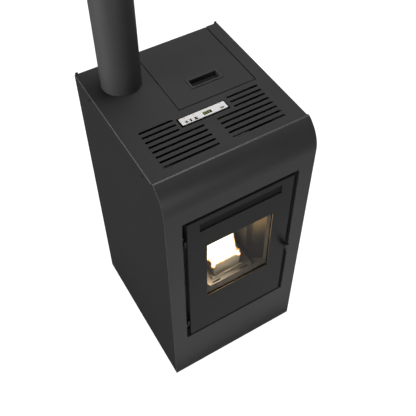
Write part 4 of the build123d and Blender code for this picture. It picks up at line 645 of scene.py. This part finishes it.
def ring_line(x0, x1, z0, z1, corner, spacing):
    """Evenly spaced points and directions round a rectangle with rounded corners, in X and Z."""
    points = []
    centres = [(x1 - corner, z0 + corner, -90), (x1 - corner, z1 - corner, 0),
               (x0 + corner, z1 - corner, 90), (x0 + corner, z0 + corner, 180)]
    for cx, cz, start in centres:
        for step in range(CORNER_STEPS + 1):
            angle = math.radians(start + 90 * step / CORNER_STEPS)
            points.append(Vector((cx + corner * math.cos(angle), 0, cz + corner * math.sin(angle))))
    line = []
    for a, b in zip(points, points[1:] + points[:1]):
        pieces = max(1, round((b - a).length / spacing))
        line += [a.lerp(b, i / pieces) for i in range(pieces)]
    return line


def laid_rope(mesh_code, line, y, strand_r, twist_r, turns_per_m, squeeze, strands=3):
    """Strands twisted round a closed line, and squeezed in Y."""
    total = sum((b - a).length for a, b in zip(line, line[1:] + line[:1]))
    turns = max(1, round(total * turns_per_m / strands)) * strands
    for strand in range(strands):
        run, rings = 0.0, []
        for number, point in enumerate(line):
            after = line[(number + 1) % len(line)]
            before = line[number - 1]
            along = (after - before).normalized()
            out = along.cross(Vector((0, 1, 0)))
            phase = 2 * math.pi * (turns * run / total + strand / strands)
            centre = point + out * twist_r * math.cos(phase)
            lift = y + squeeze * twist_r * math.sin(phase)
            ring = []
            for i in range(STRAND_SIDES):
                angle = 2 * math.pi * i / STRAND_SIDES
                ring.append(mesh_code.verts.new((
                    centre.x + out.x * strand_r * math.cos(angle),
                    lift + squeeze * strand_r * math.sin(angle),
                    centre.z + out.z * strand_r * math.cos(angle))))
            rings.append(ring)
            run += (after - point).length
        for low, top in zip(rings, rings[1:] + rings[:1]):
            for i in range(STRAND_SIDES):
                j = (i + 1) % STRAND_SIDES
                mesh_code.faces.new((low[i], low[j], top[j], top[i]))


seals = bmesh.new()
door_line = ring_line(rope_low.x + ROPE_R, rope_high.x - ROPE_R, rope_low.z + ROPE_R,
                      rope_high.z - ROPE_R, ROPE_CORNER, ROPE_STEP)
laid_rope(seals, door_line, rope_high.y - ROPE_BACK, strand_r=0.0030, twist_r=0.0023,
          turns_per_m=42, squeeze=1.15)
tape_line = ring_line(glass_low.x + TAPE_INSET, glass_high.x - TAPE_INSET,
                      glass_low.z + TAPE_INSET, glass_high.z - TAPE_INSET, TAPE_CORNER, TAPE_STEP)
for tape_y in (glass_low.y - TAPE_HALF, glass_high.y + TAPE_HALF):
    laid_rope(seals, tape_line, tape_y, strand_r=0.0022, twist_r=0.0020, turns_per_m=60,
              squeeze=0.11)
seal_piece = mesh_piece("door_rope_seals_braided", seals, rope_fibre, "door", 60)
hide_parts("door_rope_seals")

# ------------------------------------------------------------------ hopper
# Galvanised bin under the lid, with a soft rubber frame on its flange. The flue collar, the air
# intake and the lid's hinge brackets are galvanised too.
dress(zinc, "hopper", "flue_collar", "air_intake", "lid_hinge_brackets")
dress(rubber, "lid_seal")

# ------------------------------------------------------------------ lid handle and control tray
# Black polymer mouldings with a fine spark-eroded grain. The control box, the mains inlet with its
# switch and the room fan's wheel are moulded alike.
moulded, moulded_tree, moulded_shader = new_material("black_moulding")
moulded_grain = use_group(moulded_tree, grain, Place=in_place(moulded_tree), Scale=2200.0,
                          Blotch=25.0)
moulded_worn = use_group(moulded_tree, edges, Radius=0.0005)
moulded_bump = add(moulded_tree, "ShaderNodeBump", Strength=0.12, Distance=0.0001,
                   Height=moulded_grain.outputs["Height"], Normal=moulded_worn.outputs["Normal"])
feed(moulded_tree, moulded_shader,
     Base_Color=blend_colour(moulded_tree, moulded_grain.outputs["Tone"], grey(0.005), grey(0.009)),
     Roughness=0.55, Normal=moulded_bump.outputs[0], Specular_IOR_Level=0.06)
dress(moulded, "control_tray", "control_box", "mains_inlet", "rocker_switch", "room_fan_wheel")

# The handle's cup is greyer, and its walls are painted paler than its floor: painted light where
# the walls fall in shade.
CUP_T = 0.0015
CUP_FILLET = 0.0003
cup_low, cup_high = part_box("lid_handle_cup")
cup_floor = cup_low.z + CUP_T + CUP_FILLET
cup_moulding = painted("grey_black_moulding", tone=0.016, rough=0.6, depth=0.12, scale=2200.0,
                       edge_gain=0.3, spec=0.1, beyond=("Z", 1, cup_floor, 0.05))
dress(cup_moulding, "lid_handle_cup")

# The handle's visible rim is a painted frame pressed over the cup's flange, with its edges painted
# paler as painted highlight. The thin black ring round it is painted shadow of the gap at the lid.
RIM_W = 0.004
RIM_H = 0.0012
SHADOW_RING_W = 0.0017
SHADOW_RING_H = 0.0004


def frame_ring(mesh_code, x0, x1, y0, y1, inset, z0, z1):
    """Adds a flat rectangular frame of four bars."""
    box_piece(mesh_code, x0, x1, y0, y0 + inset, z0, z1)
    box_piece(mesh_code, x0, x1, y1 - inset, y1, z0, z1)
    box_piece(mesh_code, x0, x0 + inset, y0 + inset, y1 - inset, z0, z1)
    box_piece(mesh_code, x1 - inset, x1, y0 + inset, y1 - inset, z0, z1)


handle_rim = bmesh.new()
frame_ring(handle_rim, cup_low.x, cup_high.x, cup_low.y, cup_high.y, RIM_W, cup_high.z,
           cup_high.z + RIM_H)
# Paler rim and edges: painted highlight.
highlit_rim_coat = painted("rim_coat_painted_highlight", tone=0.047, rough=0.6, depth=0.10, scale=1100.0,
                    edge_gain=1.4, spec=0.1)
mesh_piece("lid_handle_rim", handle_rim, highlit_rim_coat, "lid")
lid_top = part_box("hopper_lid")[1].z
# A black ring round the cup: painted shadow.
handle_shadow_frame = bmesh.new()
frame_ring(handle_shadow_frame, cup_low.x - SHADOW_RING_W, cup_high.x + SHADOW_RING_W, cup_low.y - SHADOW_RING_W,
           cup_high.y + SHADOW_RING_W, SHADOW_RING_W, lid_top, lid_top + SHADOW_RING_H)
mesh_piece("lid_handle_shadow_ring", handle_shadow_frame, black_steel, "lid")

# ------------------------------------------------------------------ control face
# Silver-painted polymer with fine metal flake, set into the control tray: four keys with dark
# signs, two small lamps, a sensor's eye and a dark window with green figures.
silver, silver_tree, silver_shader = new_material("silver_flake_paint")
silver_place = in_place(silver_tree)
silver_flake = add(silver_tree, "ShaderNodeTexVoronoi", Vector=silver_place, Scale=2600.0)
silver_split = add(silver_tree, "ShaderNodeSeparateColor", Color=silver_flake.outputs["Color"])
silver_worn = use_group(silver_tree, edges, Radius=0.0004)
silver_base = blend_colour(silver_tree, silver_split.outputs[0], grey(0.55, 0.02), grey(0.68, 0.02))
feed(silver_tree, silver_shader, Base_Color=silver_base, Metallic=0.25, Roughness=0.38,
     Normal=silver_worn.outputs["Normal"])
dress(silver, "control_face", "key_down", "key_menu", "key_up", "key_power")
smoked, smoked_tree, smoked_shader = new_material("smoked_display_window")
smoked_grain = use_group(smoked_tree, grain, Place=in_place(smoked_tree), Blotch=90.0)
feed(smoked_tree, smoked_shader,
     Base_Color=blend_colour(smoked_tree, smoked_grain.outputs["Tone"], grey(0.003), grey(0.006)),
     Roughness=0.3, Specular_IOR_Level=0.1)
dress(smoked, "display_window")

SIGN_H = 0.00018
sign_ink = painted("dark_key_print", tone=0.004, rough=0.6, depth=0.02, scale=900.0, edge_gain=0.0,
                   spec=0.1)


def raised_sign(name, outlines, centre, finish, body, height):
    """Flat raised shapes, each an outline of (x, y) in millimetres about the centre."""
    sign = bmesh.new()
    for outline in outlines:
        low = [sign.verts.new((centre.x + x / 1000, centre.y + y / 1000, centre.z))
               for x, y in outline]
        top = [sign.verts.new((v.co.x, v.co.y, centre.z + height)) for v in low]
        sign.faces.new(list(reversed(low)))
        sign.faces.new(top)
        for i in range(len(low)):
            j = (i + 1) % len(low)
            sign.faces.new((low[i], low[j], top[j], top[i]))
    mesh_piece(name, sign, finish, body)


def bar(x0, x1, y0, y1):
    """A rectangle's outline."""
    return [(x0, y0), (x1, y0), (x1, y1), (x0, y1)]


# Down arrow, upright bar, up arrow on a bar and level bar, in millimetres.
key_signs = {
    "key_down": [[(0, -4.2), (4.9, 0.4), (-4.9, 0.4)], bar(-1.7, 1.7, 0.4, 4.4)],
    "key_menu": [bar(-2.0, 2.0, -4.6, 4.6)],
    "key_up": [[(0, 4.6), (-4.9, 0.8), (4.9, 0.8)], bar(-1.7, 1.7, -1.6, 0.8),
               bar(-4.9, 4.9, -4.4, -1.6)],
    "key_power": [bar(-4.9, 4.9, -2.8, 1.2)],
}
for key, outlines in key_signs.items():
    key_low, key_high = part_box(key)
    key_top = Vector(((key_low.x + key_high.x) / 2, (key_low.y + key_high.y) / 2, key_high.z))
    raised_sign(key + "_sign", outlines, key_top, sign_ink, key, SIGN_H)

LAMP_XS = (-0.052, 0.0546)
SENSOR_X = -0.0254
LAMP_ROW = 0.0032            # in front of the face's rear edge
LAMP_DOME = [(0.0015, 0.0), (0.0015, 0.00012), (0.0008, 0.00028)]
SENSOR_DOME = [(0.0013, 0.0), (0.0013, 0.0001), (0.0008, 0.0002)]
control_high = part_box("control_face")[1]
lamp_y = control_high.y - LAMP_ROW
lamp_light = glowing("amber_lamp", (0.85, 0.36, 0.06, 1), strength=0.6)
lamps = bmesh.new()
for lamp_x in LAMP_XS:
    turned(lamps, LAMP_DOME, Matrix.Translation((lamp_x, lamp_y, control_high.z)), steps=12)
mesh_piece("control_lamps", lamps, lamp_light, "cabinet")
sensor = bmesh.new()
turned(sensor, SENSOR_DOME, Matrix.Translation((SENSOR_X, lamp_y, control_high.z)), steps=12)
mesh_piece("control_sensor", sensor, sign_ink, "cabinet")

# Seven-part green figures on the display's window, in millimetres. Upright parts keep a small gap
# to the figure's middle and ends.
DIGIT_W = 3.6
DIGIT_H = 6.4
DIGIT_GAP = 0.2
DIGIT_STEP = 6.6
FIRST_DIGIT = -1.2           # place of the first figure from the window's middle, in steps
SEGMENT = 1.0
FIGURE_H = 0.0001            # in metres
green = glowing("green_display_light", (0.34, 0.54, 0.08, 1), strength=0.9)
segments = {
    "top": bar(-DIGIT_W / 2, DIGIT_W / 2, DIGIT_H / 2 - SEGMENT, DIGIT_H / 2),
    "middle": bar(-DIGIT_W / 2, DIGIT_W / 2, -SEGMENT / 2, SEGMENT / 2),
    "bottom": bar(-DIGIT_W / 2, DIGIT_W / 2, -DIGIT_H / 2, -DIGIT_H / 2 + SEGMENT),
    "upper_left": bar(-DIGIT_W / 2, -DIGIT_W / 2 + SEGMENT, DIGIT_GAP, DIGIT_H / 2 - DIGIT_GAP),
    "upper_right": bar(DIGIT_W / 2 - SEGMENT, DIGIT_W / 2, DIGIT_GAP, DIGIT_H / 2 - DIGIT_GAP),
    "lower_left": bar(-DIGIT_W / 2, -DIGIT_W / 2 + SEGMENT, -DIGIT_H / 2 + DIGIT_GAP, -DIGIT_GAP),
    "lower_right": bar(DIGIT_W / 2 - SEGMENT, DIGIT_W / 2, -DIGIT_H / 2 + DIGIT_GAP, -DIGIT_GAP),
}
figures = {"0": ["top", "bottom", "upper_left", "upper_right", "lower_left", "lower_right"],
           "2": ["top", "middle", "bottom", "upper_right", "lower_left"]}
window_low, window_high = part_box("display_window")
window_mid = (window_low + window_high) / 2
figure_shapes = []
for place, figure in enumerate("020"):
    shift = (place + FIRST_DIGIT) * DIGIT_STEP
    for part in figures[figure]:
        figure_shapes.append([(x + shift, y) for x, y in segments[part]])
raised_sign("display_figures", figure_shapes, Vector((window_mid.x, window_mid.y, window_high.z)),
            green, "cabinet", FIGURE_H)

# ------------------------------------------------------------------ motors
# Die-cast aluminium bodies, matt and slightly mottled. The geared one turns the auger, and the
# other one the smoke fan's impeller.
cast_metal, cast_tree, cast_shader = new_material("cast_aluminium")
cast_grain = use_group(cast_tree, grain, Place=in_place(cast_tree), Scale=600.0, Blotch=30.0)
cast_worn = use_group(cast_tree, edges)
cast_bump = add(cast_tree, "ShaderNodeBump", Strength=0.2, Distance=0.0003,
                Height=cast_grain.outputs["Height"], Normal=cast_worn.outputs["Normal"])
feed(cast_tree, cast_shader, Metallic=1.0, Roughness=0.55, Normal=cast_bump.outputs[0],
     Base_Color=blend_colour(cast_tree, cast_grain.outputs["Tone"], grey(0.36), grey(0.5)))
dress(cast_metal, "auger_gearmotor", "smoke_fan_motor")

# ------------------------------------------------------------------ flue jacket
# Seamless stove pipe in matt black enamel. It is the outer wall of the double pipe that leaves
# through the top plate.
enamel = painted("matt_pipe_enamel", tone=0.044, rough=0.5, depth=0.12, scale=800.0, edge_gain=0.3,
                 spec=0.4)
dress(enamel, "flue_jacket")

# ------------------------------------------------------------------ studio
# A pale floor and soft light, and the camera where the stove is seen from above its left front.
# The floor is white to the camera, and its own light on the stove is a tenth of that. The world
# is a dim grey that brightens upwards.
FLOOR_HALF = 8
floor_mesh = bpy.data.meshes.new("studio_floor")
floor_corners = [(-FLOOR_HALF, -FLOOR_HALF, 0), (FLOOR_HALF, -FLOOR_HALF, 0),
                 (FLOOR_HALF, FLOOR_HALF, 0), (-FLOOR_HALF, FLOOR_HALF, 0)]
floor_mesh.from_pydata(floor_corners, [], [(0, 1, 2, 3)])
floor = bpy.data.objects.new("studio_floor", floor_mesh)
bpy.context.scene.collection.objects.link(floor)
floor_coat, floor_tree, floor_shader = new_material("pale_floor")
floor_seen = add(floor_tree, "ShaderNodeLightPath")
floor_gain = calc(floor_tree, "MULTIPLY_ADD", floor_seen.outputs["Is Camera Ray"], 0.9, 0.1)
feed(floor_tree, floor_shader, Base_Color=(0.2, 0.2, 0.2, 1), Roughness=0.9,
     Emission_Color=(1, 1, 1, 1), Emission_Strength=floor_gain)
floor_mesh.materials.append(floor_coat)


def soft_light(name, place, target, width, height, power):
    """A rectangular softbox that points at a target."""
    data = bpy.data.lights.new(name, "AREA")
    data.shape, data.size, data.size_y = "RECTANGLE", width, height
    data.energy = power
    lamp = bpy.data.objects.new(name, data)
    lamp.location = place
    lamp.rotation_euler = (Vector(target) - Vector(place)).to_track_quat("-Z", "Y").to_euler()
    bpy.context.scene.collection.objects.link(lamp)
    return lamp


soft_light("left_softbox", (-3.2, -0.1, 1.3), (0, 0, 0.8), width=1.6, height=1.4, power=104)
soft_light("front_softbox", (-0.3, -3.0, 0.9), (0, 0, 0.7), width=2.0, height=1.2, power=20)
soft_light("rear_softbox", (1.1, 2.0, 2.6), (0.07, 0.15, 0.95), width=1.6, height=1.2, power=14)
soft_light("overhead_softbox", (0.5, 0.1, 3.4), (0.0, -0.15, 0.95), width=1.0, height=1.0,
           power=43)
bounce_board = soft_light("floor_bounce_board", (0.35, -1.25, 0.005), (0.35, -1.25, 1), width=1.5,
                          height=1.9, power=2.2)
bounce_board.visible_camera = False

# The flame's own light on the firebox, from a small lamp in front of the pot.
FIRE_OFFSET = (-0.01, -0.022, 0.055)         # from the pot's middle, its front and its rim
fire_glow = bpy.data.lights.new("fire_glow", "POINT")
fire_glow.energy = 0.33
fire_glow.color = (1.0, 0.85, 0.66)
fire_glow.shadow_soft_size = 0.02
fire_lamp = bpy.data.objects.new("fire_glow", fire_glow)
fire_lamp.location = Vector((pot_mid.x, pot_low.y, pot_high.z)) + Vector(FIRE_OFFSET)
fire_lamp.visible_camera = fire_lamp.visible_transmission = False
bpy.context.scene.collection.objects.link(fire_lamp)

world = bpy.data.worlds.new("studio")
world.use_nodes = True
sky = world.node_tree
sky_ways = add(sky, "ShaderNodeTexCoord").outputs["Generated"]
sky_split = add(sky, "ShaderNodeSeparateXYZ", Vector=sky_ways)
sky_height = add(sky, "ShaderNodeMapRange", Value=sky_split.outputs["Z"], To_Min=0.60, To_Max=2.45)
sky_seen = add(sky, "ShaderNodeLightPath")
sky_gain = calc(sky, "MAXIMUM", sky_height.outputs[0], sky_seen.outputs["Is Camera Ray"])
sky.links.new(sky_gain, sky.nodes["Background"].inputs["Strength"])
bpy.context.scene.world = world

CAMERA_PLACE = (-0.6165, -1.1203, 2.1455)
CAMERA_TURN = 30.815         # degrees to the right of +Y
CAMERA_DIP = 49.529          # degrees below the horizon
LENS = 57.75                 # millimetres, on a 36 mm sensor
CAMERA_SHIFT = -0.0849
camera_data = bpy.data.cameras.new("camera")
camera_data.lens, camera_data.sensor_width = LENS, 36.0
camera_data.shift_y = CAMERA_SHIFT
camera = bpy.data.objects.new("camera", camera_data)
camera.location = CAMERA_PLACE
turn, dip = math.radians(CAMERA_TURN), math.radians(CAMERA_DIP)
aim = Vector((math.sin(turn) * math.cos(dip), math.cos(turn) * math.cos(dip), -math.sin(dip)))
camera.rotation_euler = aim.to_track_quat("-Z", "Y").to_euler()
bpy.context.scene.collection.objects.link(camera)
bpy.context.scene.camera = camera
bpy.context.scene.view_settings.view_transform = "Standard"
